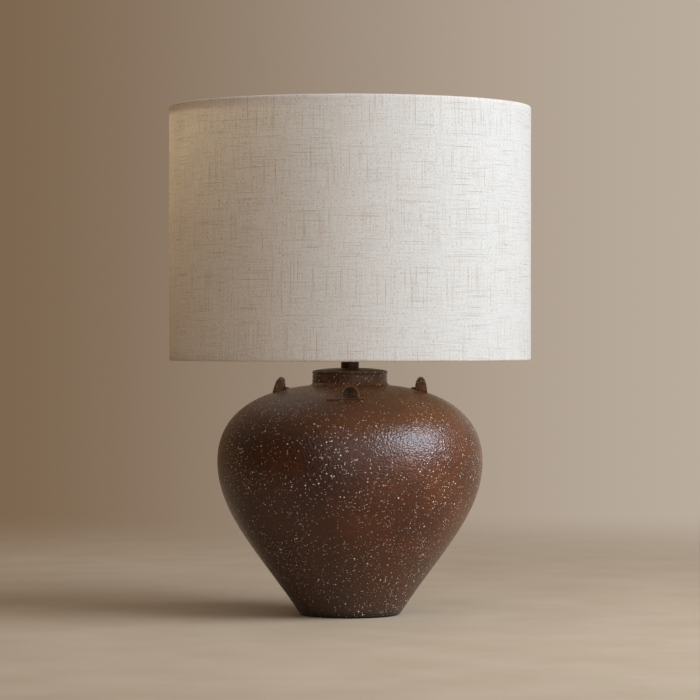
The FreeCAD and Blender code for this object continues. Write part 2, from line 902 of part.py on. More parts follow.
spindle_z = socket_z + size.spindle_height
front_place = {"z": spindle_z, "axis": (1, 0, 0), "angle": 90}
spindle_hole = cylinder(
    "spindle_hole",
    size.spindle_radius + size.running_gap,
    size.spindle_depth + size.running_gap + size.overrun,
    y=-(size.shell_radius - size.spindle_depth - size.running_gap),
    **front_place,
)

shell_z = socket_z + size.socket_cap_height - size.shell_overlap
lip_z = size.shell_length - size.shell_lip_height
shell = [
    (shell_inner, 0),
    (size.shell_radius, 0),
    (size.shell_radius, lip_z),
    (size.shell_radius + size.shell_lip, lip_z + size.shell_lip),
    (size.shell_radius + size.shell_lip, size.shell_length),
    (shell_inner + size.shell_lip, size.shell_length),
    (shell_inner + size.shell_lip, lip_z + size.shell_lip),
    (shell_inner, lip_z),
]
keep("socket_shell", cut("socket_shell", turned("shell_blank", shell, z=shell_z), spindle_hole))

sleeve_z = socket_z + size.socket_cap_height
sleeve_outer = shell_inner - size.sleeve_gap
sleeve_inner = sleeve_outer - size.sleeve_wall
sleeve = [
    (sleeve_inner, 0),
    (sleeve_outer, 0),
    (sleeve_outer, size.sleeve_length),
    (sleeve_inner, size.sleeve_length),
]
keep("socket_sleeve", cut("socket_sleeve", turned("sleeve_blank", sleeve, z=sleeve_z), spindle_hole))

core_z = sleeve_z
core_radius = sleeve_inner - size.sleeve_gap
core = [(0, 0), (core_radius, 0), (core_radius, size.core_thickness), (0, size.core_thickness)]
core_blank = turned("core_blank", core, z=core_z)
terminal_x = size.terminal_spacing / 2
terminal_shanks = [
    cylinder("terminal_shank", size.terminal_shank_radius, size.terminal_shank_length, x=x, z=core_z)
    for x in (-terminal_x, terminal_x)
]
terminal_heads = [
    cylinder(
        "terminal_head",
        size.terminal_head_radius,
        size.terminal_head_height,
        x=x,
        z=core_z - size.terminal_head_height,
    )
    for x in (-terminal_x, terminal_x)
]
core_drilled = cut("core_drilled", core_blank, spindle_hole)
for number, shank in enumerate(terminal_shanks):
    core_drilled = cut(f"core_tapped_{number}", core_drilled, shank)
keep("socket_core", core_drilled)
screws = [joined("terminal_screw", list(pair)) for pair in zip(terminal_shanks, terminal_heads)]
keep("terminal_screws", joined("terminal_screws", screws, "Part::Compound"))

thread_z = core_z + size.core_thickness
thread_inner = size.thread_radius + size.thread_clearance
thread_outer = thread_inner + size.thread_shell_wall
thread_shell = [
    (size.thread_shell_hole_radius, 0),
    (thread_outer, 0),
    (thread_outer, size.thread_shell_length),
    (thread_inner, size.thread_shell_length),
    (thread_inner, size.thread_shell_wall),
    (size.thread_shell_hole_radius, size.thread_shell_wall),
]
keep("socket_screw_shell", turned("socket_screw_shell", thread_shell, z=thread_z))

contact = [
    (0, 0),
    (size.contact_radius, 0),
    (size.contact_radius, size.contact_thickness),
    (size.contact_tip_radius, size.contact_thickness),
    (size.contact_tip_radius, size.contact_tip_height),
    (0, size.contact_tip_height),
]
keep("center_contact", turned("center_contact", contact, z=thread_z))

# Turn switch: the spindle runs from the core to the knob in front of the shell.

spindle_start = size.shell_radius - size.spindle_depth
knob_y = size.shell_radius + size.knob_standoff
spindle_end = knob_y + size.spindle_into_knob
spindle = cylinder(
    "switch_spindle", size.spindle_radius, spindle_end - spindle_start, y=-spindle_start, **front_place
)
keep("switch_spindle", spindle)
knob = new_body("switch_knob")
spin(
    knob,
    "PartDesign::Revolution",
    "turning",
    [
        (size.spindle_radius, 0),
        (size.knob_waist_radius, 0),
        (size.knob_waist_radius, size.knob_length / 3),
        (size.knob_radius, size.knob_length / 2),
        (size.knob_radius, size.knob_length, size.knob_round),
        (0, size.knob_length),
        (0, size.spindle_into_knob),
        (size.spindle_radius, size.spindle_into_knob),
    ],
)
keep("switch_knob", place(knob, y=-knob_y, **front_place))

# Bulb: contact, insulator and screw base below an opal globe.

bulb_z = thread_z + size.contact_tip_height + size.running_gap
tip = [
    (0, 0),
    (size.tip_radius, 0, size.tip_round),
    (size.tip_radius, size.tip_height),
    (0, size.tip_height),
]
keep("bulb_contact", turned("bulb_contact", tip, z=bulb_z))

insulator_top = size.tip_height + size.insulator_height
insulator = [
    (0, size.tip_height),
    (size.insulator_low_radius, size.tip_height),
    (size.insulator_top_radius, insulator_top),
    (0, insulator_top),
]
keep("bulb_insulator", turned("bulb_insulator", insulator, z=bulb_z))

base_top = insulator_top + size.bulb_base_length
base_inner = size.thread_radius - size.bulb_base_wall
base_low = size.thread_radius - size.bulb_base_chamfer
bulb_base = [
    (0, insulator_top),
    (base_low, insulator_top),
    (size.thread_radius, insulator_top + size.bulb_base_chamfer),
    (size.thread_radius, base_top),
    (base_inner, base_top),
    (base_inner, insulator_top + size.bulb_base_chamfer),
    (base_low - size.bulb_base_wall, insulator_top + size.bulb_base_wall),
    (0, insulator_top + size.bulb_base_wall),
]
keep("bulb_base", turned("bulb_base", bulb_base, z=bulb_z))

neck_low = base_top - size.bulb_neck_depth
neck_high = base_top + size.bulb_neck_rise
globe_z = size.bulb_length - size.bulb_radius


def globe_side(inset):
    """The globe's wall from its neck to its crown, drawn in by an inset."""
    neck_radius = base_inner - inset
    widest = size.bulb_radius - inset
    crown = size.bulb_length - inset
    rise = (globe_z - neck_high) * size.bulb_neck_share
    return [
        (neck_radius, neck_low),
        (neck_radius, neck_high),
        Curve((neck_radius, neck_high + rise), (widest, globe_z - rise)),
        (widest, globe_z),
        Curve(
            (widest, globe_z + widest * size.round_share),
            (widest * size.round_share, crown),
        ),
        (0, crown),
    ]


def backwards(outline):
    """The same outline followed from its end to its start."""
    return [Curve(*reversed(i.poles)) if isinstance(i, Curve) else i for i in reversed(outline)]


globe = globe_side(as_size(0)) + backwards(globe_side(size.bulb_wall))
keep("bulb_glass", turned("bulb_glass", globe, z=bulb_z))

# Spider: a hub over the stud and three arms that step up to the shade's top ring.

hub_z = crown_z + plate_height + size.running_gap
roll_inner = size.ring_radius + size.ring_gap
roll_radius = roll_inner + size.fabric_thickness
ring_circle = size.shade_radius - roll_radius
arm_z = size.spider_hub_thickness / 2
spider = new_body("spider_blank")
hub_hole = size.stud_radius + size.spider_hole_clearance
spin(
    spider,
    "PartDesign::Revolution",
    "hub",
    [
        (hub_hole, 0),
        (size.spider_hub_radius, 0),
        (size.spider_hub_radius, size.spider_hub_thickness),
        (hub_hole, size.spider_hub_thickness),
    ],
)
arm_start = size.spider_hub_radius - size.spider_arm_radius
ramp_start = ring_circle - size.spider_arm_flat
ramp_end = ramp_start + size.spider_arm_ramp
arm_path = [
    (arm_start, arm_z),
    (ramp_start, arm_z, size.spider_bend_radius),
    (ramp_end, arm_z + size.spider_drop, size.spider_bend_radius),
    (ring_circle, arm_z + size.spider_drop),
]
arm = bent_wire(spider, arm_path, "YZ_Plane", (as_size(0), arm_z), size.spider_arm_radius, arm_start)
doc.recompute()
arms = spider.newObject("PartDesign::PolarPattern", "arms")
arms.Originals = [arm]
arms.Axis = ([f for f in spider.Origin.OriginFeatures if f.Role == "Z_Axis"][0], [""])
arms.Angle = 360
arms.Occurrences = len(ARM_ANGLES)
spider.Tip = arms
place(spider, z=hub_z, angle=ARM_ANGLES[0])

# Shade: the fabric rolls round a wire ring at both ends, over a stiff liner.

ring_top_z = hub_z + arm_z + size.spider_drop
shade_z = ring_top_z + roll_radius - size.shade_height


def wire_ring(name, z):
    ring = doc.addObject("Part::Torus", name)
    bind(ring, "Radius1", ring_circle)
    bind(ring, "Radius2", size.ring_radius)
    return keep(name, place(ring, z=z))


top_ring = wire_ring("shade_top_ring", ring_top_z)
wire_ring("shade_bottom_ring", shade_z + roll_radius)
keep("spider_fitter", cut("spider_fitter", spider, top_ring))

hem_outer = size.shade_radius - roll_radius * 2
hem_inner = hem_outer + size.fabric_thickness
wall_inner = size.shade_radius - size.fabric_thickness
hem_low = roll_radius + size.hem_length
hem_high = size.shade_height - hem_low
fabric = [
    (size.shade_radius, 0, roll_radius),
    (size.shade_radius, size.shade_height, roll_radius),
    (hem_outer, size.shade_height, roll_radius),
    (hem_outer, hem_high),
    (hem_inner, hem_high),
    (hem_inner, size.shade_height - size.fabric_thickness, roll_inner),
    (wall_inner, size.shade_height - size.fabric_thickness, roll_inner),
    (wall_inner, size.fabric_thickness, roll_inner),
    (hem_inner, size.fabric_thickness, roll_inner),
    (hem_inner, hem_low),
    (hem_outer, hem_low),
    (hem_outer, 0, roll_radius),
]
shade_fabric = turned("fabric_blank", fabric, z=shade_z)
for angle in ARM_ANGLES:
    notch = cylinder("hem_notch", size.spider_arm_radius + size.running_gap, roll_radius + size.overrun)
    turn = FreeCAD.Rotation(FreeCAD.Vector(0, 0, 1), angle)
    lie_down = FreeCAD.Rotation(FreeCAD.Vector(0, 1, 0), 90)
    notch.Placement = FreeCAD.Placement(FreeCAD.Vector(0, 0, 0), turn.multiply(lie_down))
    inner_end = ring_circle - roll_radius - size.overrun
    bind(notch, "Placement.Base.x", inner_end * math.cos(math.radians(angle)))
    bind(notch, "Placement.Base.y", inner_end * math.sin(math.radians(angle)))
    bind(notch, "Placement.Base.z", ring_top_z)
    shade_fabric = cut(f"fabric_notched_{angle}", shade_fabric, notch)
keep("shade_fabric", shade_fabric)

liner_inner = wall_inner - size.liner_thickness
liner_height = size.shade_height - size.liner_margin * 2
liner = [
    (liner_inner, 0),
    (wall_inner, 0),
    (wall_inner, liner_height),
    (liner_inner, liner_height),
]
keep("shade_liner", turned("shade_liner", liner, z=shade_z + size.liner_margin))

# Finial: a bored base that screws down on the stud, with a knob on it.

finial_z = hub_z + size.spider_hub_thickness + size.running_gap
stud_top = crown_z + plate_height + size.stud_length
finial_bore = size.stud_radius + size.running_gap
bore_top = stud_top + size.running_gap - finial_z
finial_base = [
    (finial_bore, 0),
    (size.finial_flange_radius, 0),
    (size.finial_flange_radius, size.finial_flange_thickness, size.finial_round),
    (size.finial_neck_radius, size.finial_flange_thickness + size.finial_round),
    (size.finial_neck_radius, size.finial_base_height),
    (0, size.finial_base_height),
    (0, bore_top),
    (finial_bore, bore_top),
]
keep("finial_base", turned("finial_base", finial_base, z=finial_z))

half_knob = size.finial_knob_height / 2
knob_curve = half_knob * size.round_share
finial_knob = [
    (0, 0),
    (size.finial_knob_foot_radius, 0),
    Curve(
        (between(size.finial_knob_foot_radius, size.finial_knob_radius, size.round_share), 0),
        (size.finial_knob_radius, half_knob - knob_curve),
    ),
    (size.finial_knob_radius, half_knob),
    Curve(
        (size.finial_knob_radius, half_knob + knob_curve),
        (size.finial_knob_radius * size.round_share, size.finial_knob_height),
    ),
    (0, size.finial_knob_height),
]
keep("finial_knob", turned("finial_knob", finial_knob, z=finial_z + size.finial_base_height))

doc.recompute()

failed = [thing.Name for thing in doc.Objects if {"Invalid", "Error"} & set(thing.State)]
if failed:
    raise RuntimeError("these objects failed: " + ", ".join(failed))
for name, thing in pieces.items():
    if thing.Shape.isNull() or not thing.Shape.isValid() or not thing.Shape.Solids:
        raise RuntimeError(f"{name} has no valid solid")

os.makedirs("parts", exist_ok=True)
for name, thing in pieces.items():
    thing.Shape.exportStep(os.path.join("parts", f"{name}.step"))
    box = thing.Shape.BoundBox
    print(f"{name}: {len(thing.Shape.Solids)} solid(s), z {box.ZMin:.1f} to {box.ZMax:.1f}")
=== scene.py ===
import math

import bmesh
import bpy
import numpy as np
from mathutils import Matrix, Vector, noise


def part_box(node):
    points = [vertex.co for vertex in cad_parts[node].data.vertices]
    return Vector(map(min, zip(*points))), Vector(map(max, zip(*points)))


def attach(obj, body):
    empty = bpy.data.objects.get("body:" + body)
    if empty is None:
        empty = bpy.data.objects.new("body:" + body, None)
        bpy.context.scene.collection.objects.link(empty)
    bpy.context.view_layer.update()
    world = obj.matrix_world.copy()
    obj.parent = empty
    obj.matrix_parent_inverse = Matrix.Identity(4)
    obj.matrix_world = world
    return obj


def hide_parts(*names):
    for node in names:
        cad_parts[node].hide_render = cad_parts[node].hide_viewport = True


# Stoneware table lamp: a thrown jar with four lugs, a bronze neck and harp, and a linen drum.
# The sections follow the lamp from the table up, in the order in which it is put together.

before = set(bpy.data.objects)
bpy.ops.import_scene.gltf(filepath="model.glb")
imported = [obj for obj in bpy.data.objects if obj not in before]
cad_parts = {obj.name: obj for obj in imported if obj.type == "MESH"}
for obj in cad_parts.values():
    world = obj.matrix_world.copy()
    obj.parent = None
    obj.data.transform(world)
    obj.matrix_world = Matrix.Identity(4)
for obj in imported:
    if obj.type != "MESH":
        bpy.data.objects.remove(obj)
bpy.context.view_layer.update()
MM = 0.001


# Felt pad.
# A disc of pressed wool felt, glued under the foot so that the stoneware doesn't scratch the table.
# Only its dark edge shows. Felt is matt, with short fibres that catch the light at the rim.


def tone(code):
    """The linear colour of an sRGB hex value."""
    values = [int(code[i : i + 2], 16) / 255 for i in (1, 3, 5)]
    return (*[v / 12.92 if v <= 0.04045 else ((v + 0.055) / 1.055) ** 2.4 for v in values], 1)


def add(tree, kind, inputs=None, stops=(), to=None, **settings):
    """A shader node with its settings, its ramp's (place, hex) stops, and its sockets set or linked."""
    node = tree.nodes.new("ShaderNode" + kind)
    for setting, value in settings.items():
        setattr(node, setting, value)
    for number, (place, code) in enumerate(stops):
        steps = node.color_ramp.elements
        step = steps[number] if number < 2 else steps.new(place)
        step.position, step.color = place, tone(code)
    for key, value in (inputs or {}).items():
        socket = next(s for s in node.inputs if s.enabled and key in (s.identifier, s.name))
        if isinstance(value, bpy.types.Node):
            value = next(s for s in value.outputs if s.enabled)
        if isinstance(value, bpy.types.NodeSocket):
            tree.links.new(value, socket)
        else:
            socket.default_value = value
    if to:
        tree.links.new(next(s for s in node.outputs if s.enabled), to)
    return node


def new_finish(name, **values):
    """A new material, its node tree, its Principled shader's sockets and the coordinates of the piece."""
    material = bpy.data.materials.new(name)
    material.use_nodes = True
    tree = material.node_tree
    skin = tree.nodes["Principled BSDF"].inputs
    for key, value in values.items():
        skin[key.replace("_", " ").title().replace("Ior", "IOR")].default_value = value
    return material, tree, skin, add(tree, "TexCoord").outputs["Object"]


def dress(material, *nodes):
    """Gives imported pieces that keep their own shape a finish."""
    for node in nodes:
        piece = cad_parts[node]
        if not piece.material_slots:
            piece.data.materials.append(None)
        for held in piece.material_slots:
            held.material = material


FELT_FIBRE = 0.6 * MM
felt, tree, skin, place = new_finish("pressed_wool_felt", roughness=0.95, sheen_weight=0.35, sheen_roughness=0.6)
fibres = add(tree, "TexNoise", {"Vector": place, "Scale": 1 / FELT_FIBRE, "Detail": 4.0})
add(tree, "ValToRGB", {"Fac": fibres}, [(0.3, "#1f1b18"), (0.7, "#3a332d")], skin["Base Color"])
add(tree, "Bump", {"Height": fibres, "Strength": 0.6, "Distance": 0.3 * MM}, to=skin["Normal"])
dress(felt, "felt_pad")


# Jar.
# A round-bellied jar of iron-bearing stoneware, thrown on a wheel, with a recessed foot and a beaded collar.
# Its brown glaze is satin, pitted like orange peel, and speckled with cream where grains in the clay came through.

jar_low, jar_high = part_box("jar")
FOOT_RADIUS, FOOT_CHAMFER, RING_WIDTH = 65 * MM, 1.5 * MM, 11 * MM
RECESS_RADIUS, RECESS_Z, RECESS_ROUND, HOLE_RADIUS = 72 * MM, 32 * MM, 2 * MM, 5.5 * MM
BELLY_RADIUS, BELLY_Z, WALL = jar_high.x, 193.5 * MM, 7 * MM
SHOULDER_RADIUS, SHOULDER_Z = 51.8 * MM, 290.1 * MM
COLLAR_RADIUS, COLLAR_Z = 46.7 * MM, 299.2 * MM
BEAD_RADIUS, BEAD_Z, BEAD_FLAT, MOUTH_RADIUS = 47.6 * MM, 304.3 * MM, 2 * MM, 40 * MM
FLOOR_RADIUS, FLOOR_Z = 80 * MM, 40 * MM
OUTSIDE_STEP, INSIDE_STEP, JAR_COLUMNS = 1.25 * MM, 9 * MM, 560
# Where the poles of the two wall curves lie, as shares of the heights and widths between foot, belly and shoulder.
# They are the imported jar's own.
FOOT_LIFT, FOOT_SPREAD, BELLY_DROP, BELLY_LIFT = 0.312, 0.619, 0.363, 0.633
SHOULDER_SPREAD, SHOULDER_DROP, FLARE_BEND = 0.566, 0.099, 0.7


def cubic(a, b, c, d, steps=60):
    """Points of a cubic curve with poles a to d, without its last."""
    points = []
    for number in range(steps):
        t = number / steps
        u = 1 - t
        weights = (u**3, 3 * u * u * t, 3 * u * t * t, t**3)
        points.append(tuple(sum(w * p[k] for w, p in zip(weights, (a, b, c, d))) for k in (0, 1)))
    return points


def paced(points, step):
    """The same line with points about one step apart, ends kept."""
    line = np.array(points, float)
    lengths = np.r_[0, np.cumsum(np.linalg.norm(np.diff(line, axis=0), axis=1))]
    marks = np.linspace(0, lengths[-1], max(2, round(lengths[-1] / step) + 1))
    return np.column_stack([np.interp(marks, lengths, line[:, k]) for k in (0, 1)])


def spun(profile, turns):
    """Points of a profile (radius, z) turned about Z, one ring of them per profile point."""
    rings = [np.column_stack([r * np.sin(turns), -r * np.cos(turns), np.full(len(turns), z)]) for r, z in profile]
    return np.concatenate(rings)


def woven(rows, columns, round_columns=True, round_rows=False):
    """Faces between rows of points, each row with the same number of columns."""
    last_row = rows if round_rows else rows - 1
    last_column = columns if round_columns else columns - 1
    faces = []
    for row in range(last_row):
        low, high = row * columns, (row + 1) % rows * columns
        faces += [(low + c, low + (c + 1) % columns, high + (c + 1) % columns, high + c) for c in range(last_column)]
    return faces


def made(name, points, faces, material, body, replaced=()):
    """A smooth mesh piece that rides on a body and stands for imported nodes."""
    mesh = bpy.data.meshes.new(name)
    mesh.from_pydata([tuple(p) for p in points], [], faces)
    mesh.polygons.foreach_set("use_smooth", [True] * len(faces))
    mesh.materials.append(material)
    mesh.update()
    piece = bpy.data.objects.new(name, mesh)
    bpy.context.scene.collection.objects.link(piece)
    if replaced:
        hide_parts(*replaced)
    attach(piece, body)
    return piece


foot = (FOOT_RADIUS, jar_low.z + FOOT_CHAMFER)
belly = (BELLY_RADIUS, BELLY_Z)
shoulder = (SHOULDER_RADIUS, SHOULDER_Z)
foot_rise = (belly[1] - foot[1]) * FOOT_LIFT
shoulder_reach = (belly[0] - shoulder[0]) * SHOULDER_SPREAD
lower_poles = [
    foot,
    (foot[0] + foot_rise * FOOT_SPREAD, foot[1] + foot_rise),
    (belly[0], belly[1] - (belly[1] - foot[1]) * BELLY_DROP),
    belly,
]
upper_poles = [
    belly,
    (belly[0], belly[1] + (shoulder[1] - belly[1]) * BELLY_LIFT),
    (shoulder[0] + shoulder_reach, shoulder[1] - shoulder_reach * SHOULDER_DROP),
    shoulder,
]
flare = SHOULDER_RADIUS - COLLAR_RADIUS
flare_poles = [
    shoulder,
    (SHOULDER_RADIUS - flare * FLARE_BEND, SHOULDER_Z),
    (COLLAR_RADIUS, COLLAR_Z - (COLLAR_Z - SHOULDER_Z) * FLARE_BEND),
    (COLLAR_RADIUS, COLLAR_Z),
]
bead_poles = [
    (BEAD_RADIUS, BEAD_Z + 1 * MM),
    (BEAD_RADIUS, jar_high.z - 0.4 * MM),
    (BEAD_RADIUS - 0.6 * MM, jar_high.z),
    (BEAD_RADIUS - BEAD_FLAT, jar_high.z),
]
outside = paced(
    [(FOOT_RADIUS - FOOT_CHAMFER, jar_low.z)]
    + cubic(*lower_poles)
    + cubic(*upper_poles)
    + cubic(*flare_poles)
    + [(COLLAR_RADIUS, COLLAR_Z), (COLLAR_RADIUS, BEAD_Z)]
    + cubic(*bead_poles, steps=8),
    OUTSIDE_STEP,
)
inner_belly = BELLY_RADIUS - WALL
inside = paced(
    [(BEAD_RADIUS - BEAD_FLAT, jar_high.z), (MOUTH_RADIUS, jar_high.z), (MOUTH_RADIUS, SHOULDER_Z - WALL)]
    + cubic(
        (MOUTH_RADIUS, SHOULDER_Z - WALL),
        (MOUTH_RADIUS + shoulder_reach, SHOULDER_Z - WALL * 2),
        (inner_belly, BELLY_Z + (SHOULDER_Z - BELLY_Z) * 0.6),
        (inner_belly, BELLY_Z),
        steps=20,
    )
    + cubic(
        (inner_belly, BELLY_Z),
        (inner_belly, BELLY_Z - (BELLY_Z - FLOOR_Z) * BELLY_DROP),
        (FLOOR_RADIUS + foot_rise * 0.5, FLOOR_Z + foot_rise * 0.8),
        (FLOOR_RADIUS, FLOOR_Z),
        steps=20,
    )
    + [(FLOOR_RADIUS, FLOOR_Z), (HOLE_RADIUS, FLOOR_Z)],
    INSIDE_STEP,
)
recess = [
    (HOLE_RADIUS, RECESS_Z),
    (RECESS_RADIUS - RECESS_ROUND, RECESS_Z),
    (RECESS_RADIUS, RECESS_Z - RECESS_ROUND),
    (FOOT_RADIUS - RING_WIDTH, jar_low.z),
]
jar_profile = np.vstack([outside, inside[1:], recess])
jar_points = spun(jar_profile, np.linspace(0, 2 * math.pi, JAR_COLUMNS, endpoint=False))
jar_faces = woven(len(jar_profile), JAR_COLUMNS, round_rows=True)


def rough_at(x, y, z, scale):
    """Fractal noise from about -1 to 1, with features of the size of scale."""
    return noise.fractal(Vector((x, y, z)) / scale, 1.0, 2.0, 2, noise_basis="PERLIN_ORIGINAL")


# What the thrower's hands left: the wall runs a little out of round, the fingers leave shallow rings and two
# ridges on the collar, and a comb drawn up the damp clay leaves slanting strokes above the foot.
OUT_OF_ROUND, SWELL_SIZE = 0.45 * MM, 110 * MM
RING_DEPTH, RING_PITCH, RING_DRIFT = 0.05 * MM, 11 * MM, 90 * MM
RIDGES, RIDGE_HEIGHT, RIDGE_HALF = (301.2 * MM, 296.6 * MM), 0.8 * MM, 1.2 * MM
COMB_DEPTH, COMB_TOP, COMB_RADIUS = 0.5 * MM, 88 * MM, 88 * MM
COMB_PITCH, COMB_STROKE, COMB_LEAN, COMB_LIFT, COMB_FADE = 4.6 * MM, 32 * MM, math.radians(24), 0.4, 0.6
FOOT_FADE = 8 * MM
for index in range(len(outside) * JAR_COLUMNS):
    x, y, z = jar_points[index]
    radius, angle, above = math.hypot(x, y), math.atan2(x, -y), z - jar_low.z
    swell = rough_at(x, y, z, SWELL_SIZE) * OUT_OF_ROUND
    # The rings and ridges rise, sink and fade as they run round.
    wander = rough_at(x, y, z * 0.3, RING_DRIFT)
    rings = math.sin(2 * math.pi * z / RING_PITCH + 3 * wander) * RING_DEPTH * (0.6 + wander)
    ridges = sum(math.exp(-(((z - at) / RIDGE_HALF) ** 2)) for at in RIDGES) * RIDGE_HEIGHT * (0.7 + 2 * wander)
    run = angle * COMB_RADIUS
    across = run * math.cos(COMB_LEAN) - above * math.sin(COMB_LEAN)
    stroke = above * math.cos(COMB_LEAN) + run * math.sin(COMB_LEAN)
    fading = max(0.0, 1 - above / COMB_TOP) ** COMB_FADE * min(1, (math.pi - abs(angle)) / COMB_LIFT)
    comb = noise.noise(Vector((across / COMB_PITCH, stroke / COMB_STROKE, 3.1))) * COMB_DEPTH * fading
    growth = 1 + (swell + rings + comb + ridges) * min(1, above / FOOT_FADE) / radius
    jar_points[index] = (x * growth, y * growth, z)

# Iron glaze, fired to a satin. It is painted darker on the left and lighter and redder on the right, towards the
# window: painted shade and painted light. The upper shoulder is painted lighter, partly where the glaze ran thin and
# partly as painted light. Edges are painted lighter, partly where the glaze broke thin and partly as a painted
# highlight. The collar under the shade is painted darker as painted shade, and the foot is greyer where it was wiped.
# Corners, recesses and the shoulder under and behind the lugs are painted nearly black: painted shade, where the glaze
# also pools. Pits break up its gloss, and the grains stand a little proud.
CLOUD, MOTTLE, LIT_SIDE_HALF = 75 * MM, 6 * MM, 130 * MM
PEEL, PEEL_DEPTH = 2.5 * MM, 1.0 * MM
# How far apart the grains lie, how large they are and what share of them shows.
GRAINS = ((2.0 * MM, 0.54 * MM, 0.5), (5.4 * MM, 0.95 * MM, 0.55))
GRAIN_PATCH = 50 * MM
POOL_AND_SHADE_REACH = 12 * MM
# The heights of three bands of another colour: the shoulder painted lighter, partly thin glaze and partly painted
# light; the collar painted darker, painted shade under the shade's rim; and the greyer wiped foot. Then how much of
# its colour the glaze loses there.
THIN_FOOT, THIN_AND_LIT_SHOULDER, SHADED_COLLAR = (95 * MM, 0.0), (225 * MM, 285 * MM), (288 * MM, 300 * MM)
BAND_SHARE, THIN_ROUGHER = 0.6, 0.25
SMOOTHEST, ROUGHEST, GRAIN_RISE = 0.18, 0.28, 0.1
stoneware, tree, skin, place = new_finish("glazed_iron_stoneware", ior=1.5, specular_ior_level=0.5)
cloud = add(tree, "TexNoise", {"Vector": place, "Scale": 1 / CLOUD, "Detail": 3.0})
mottle = add(tree, "TexNoise", {"Vector": place, "Scale": 1 / MOTTLE, "Detail": 4.0})
depth = add(tree, "Mix", {"Factor": 0.35, "A": cloud, "B": mottle})
# The glaze is painted darker on the left and lighter and redder on the right, towards the window: painted shade and
# painted light.
shaded_left_glaze = add(tree, "ValToRGB", {"Fac": depth}, [(0.3, "#250f07"), (0.5, "#351607"), (0.7, "#46210c")])
lit_right_glaze = add(tree, "ValToRGB", {"Fac": depth}, [(0.3, "#3f1d0b"), (0.5, "#532810"), (0.7, "#653418")])
where = add(tree, "SeparateXYZ", {"Vector": place}).outputs
window_side = {"Value": where["X"], "From Min": -LIT_SIDE_HALF, "From Max": LIT_SIDE_HALF}
window_side = add(tree, "MapRange", window_side, interpolation_type="SMOOTHSTEP")
brown = add(tree, "Mix", {"Factor": window_side, "A": shaded_left_glaze, "B": lit_right_glaze}, data_type="RGBA")
# Per band: the shoulder is painted lighter (thin glaze and painted light), the collar darker (painted shade), the foot
# greyer.
for (start, end), code in ((THIN_AND_LIT_SHOULDER, "#7d553b"), (SHADED_COLLAR, "#2c1e16"), (THIN_FOOT, "#3f2f22")):
    height_band = add(tree, "MapRange", {"Value": where["Z"], "From Min": start, "From Max": end, "To Max": BAND_SHARE})
    brown = add(tree, "Mix", {"Factor": height_band, "A": brown, "B": tone(code)}, data_type="RGBA")
# Edges are painted lighter: partly glaze broken thin, partly a painted highlight.
thin_edge_glint = add(tree, "NewGeometry").outputs["Pointiness"]
thin_edge_glint = add(tree, "MapRange", {"Value": thin_edge_glint, "From Min": 0.53, "From Max": 0.62, "To Max": 0.7})
brown = add(tree, "Mix", {"Factor": thin_edge_glint, "A": brown, "B": tone("#8f5f40")}, data_type="RGBA")
# Corners and recesses, found by occlusion, are painted nearly black: painted shade, where the glaze also pools.
corners = add(tree, "AmbientOcclusion", {"Distance": POOL_AND_SHADE_REACH}, samples=8).outputs["AO"]
pooling_and_shade = add(tree, "MapRange", {"Value": corners, "From Min": 0.8, "From Max": 0.45, "To Max": 0.9})
# The shoulder under and behind each lug is painted dark too: painted shade of the lug.
lug_shade = add(tree, "Attribute", attribute_name="lug_shade_mask").outputs["Fac"]
pooling_and_shade = add(tree, "Math", {"Value": pooling_and_shade, "Value_001": lug_shade}, operation="MAXIMUM")
brown = add(tree, "Mix", {"Factor": pooling_and_shade, "A": brown, "B": tone("#150b06")}, data_type="RGBA")
crowd = add(tree, "TexNoise", {"Vector": place, "Scale": 1 / GRAIN_PATCH, "Detail": 2.0})
crowd = add(tree, "MapRange", {"Value": crowd, "From Min": 0.35, "From Max": 0.62, "To Min": 0.3})
grains = add(tree, "Math", {"Value": 0.0, "Value_001": 0.0}, operation="MAXIMUM")
for apart, radius, share in GRAINS:
    cells = add(tree, "TexVoronoi", {"Vector": place, "Scale": 1 / apart})
    lot = add(tree, "SeparateColor", {"Color": cells.outputs["Color"]}).outputs
    reach = add(tree, "MapRange", {"Value": lot["Red"], "To Min": 0.4 * radius / apart, "To Max": radius / apart})
    within = add(tree, "Math", {"Value": reach, "Value_001": cells}, operation="SUBTRACT")
    grain = add(tree, "MapRange", {"Value": within, "From Min": -0.02, "From Max": 0.03})
    limit = add(tree, "Math", {"Value": crowd, "Value_001": share}, operation="MULTIPLY")
    shows = add(tree, "Math", {"Value": lot["Green"], "Value_001": limit}, operation="LESS_THAN")
    grain = add(tree, "Math", {"Value": grain, "Value_001": shows}, operation="MULTIPLY")
    grains = add(tree, "Math", {"Value": grains, "Value_001": grain}, operation="MAXIMUM")
add(tree, "Mix", {"Factor": grains, "A": brown, "B": tone("#f7efe2")}, to=skin["Base Color"], data_type="RGBA")
gloss = {"Value": mottle, "From Min": 0.3, "From Max": 0.7, "To Min": SMOOTHEST, "To Max": ROUGHEST}
gloss = {"Value": height_band, "Value_001": THIN_ROUGHER, "Value_002": add(tree, "MapRange", gloss)}
add(tree, "Math", gloss, to=skin["Roughness"], operation="MULTIPLY_ADD")
peel = add(tree, "TexNoise", {"Vector": place, "Scale": 1 / PEEL, "Detail": 1.0})
relief = {"Value": grains, "Value_001": GRAIN_RISE, "Value_002": peel}
relief = add(tree, "Math", relief, operation="MULTIPLY_ADD")
add(tree, "Bump", {"Height": relief, "Strength": 1.0, "Distance": PEEL_DEPTH}, to=skin["Normal"])
jar_body = made("jar_body", jar_points, jar_faces, stoneware, "root", ["jar"])


# Lugs.
# Four straps of clay, pinched off a coil, bent into an arch and luted on the shoulder with slip before glazing.
# Each is a little uneven, and slip that was squeezed out lies as a ledge or a nub at its feet.

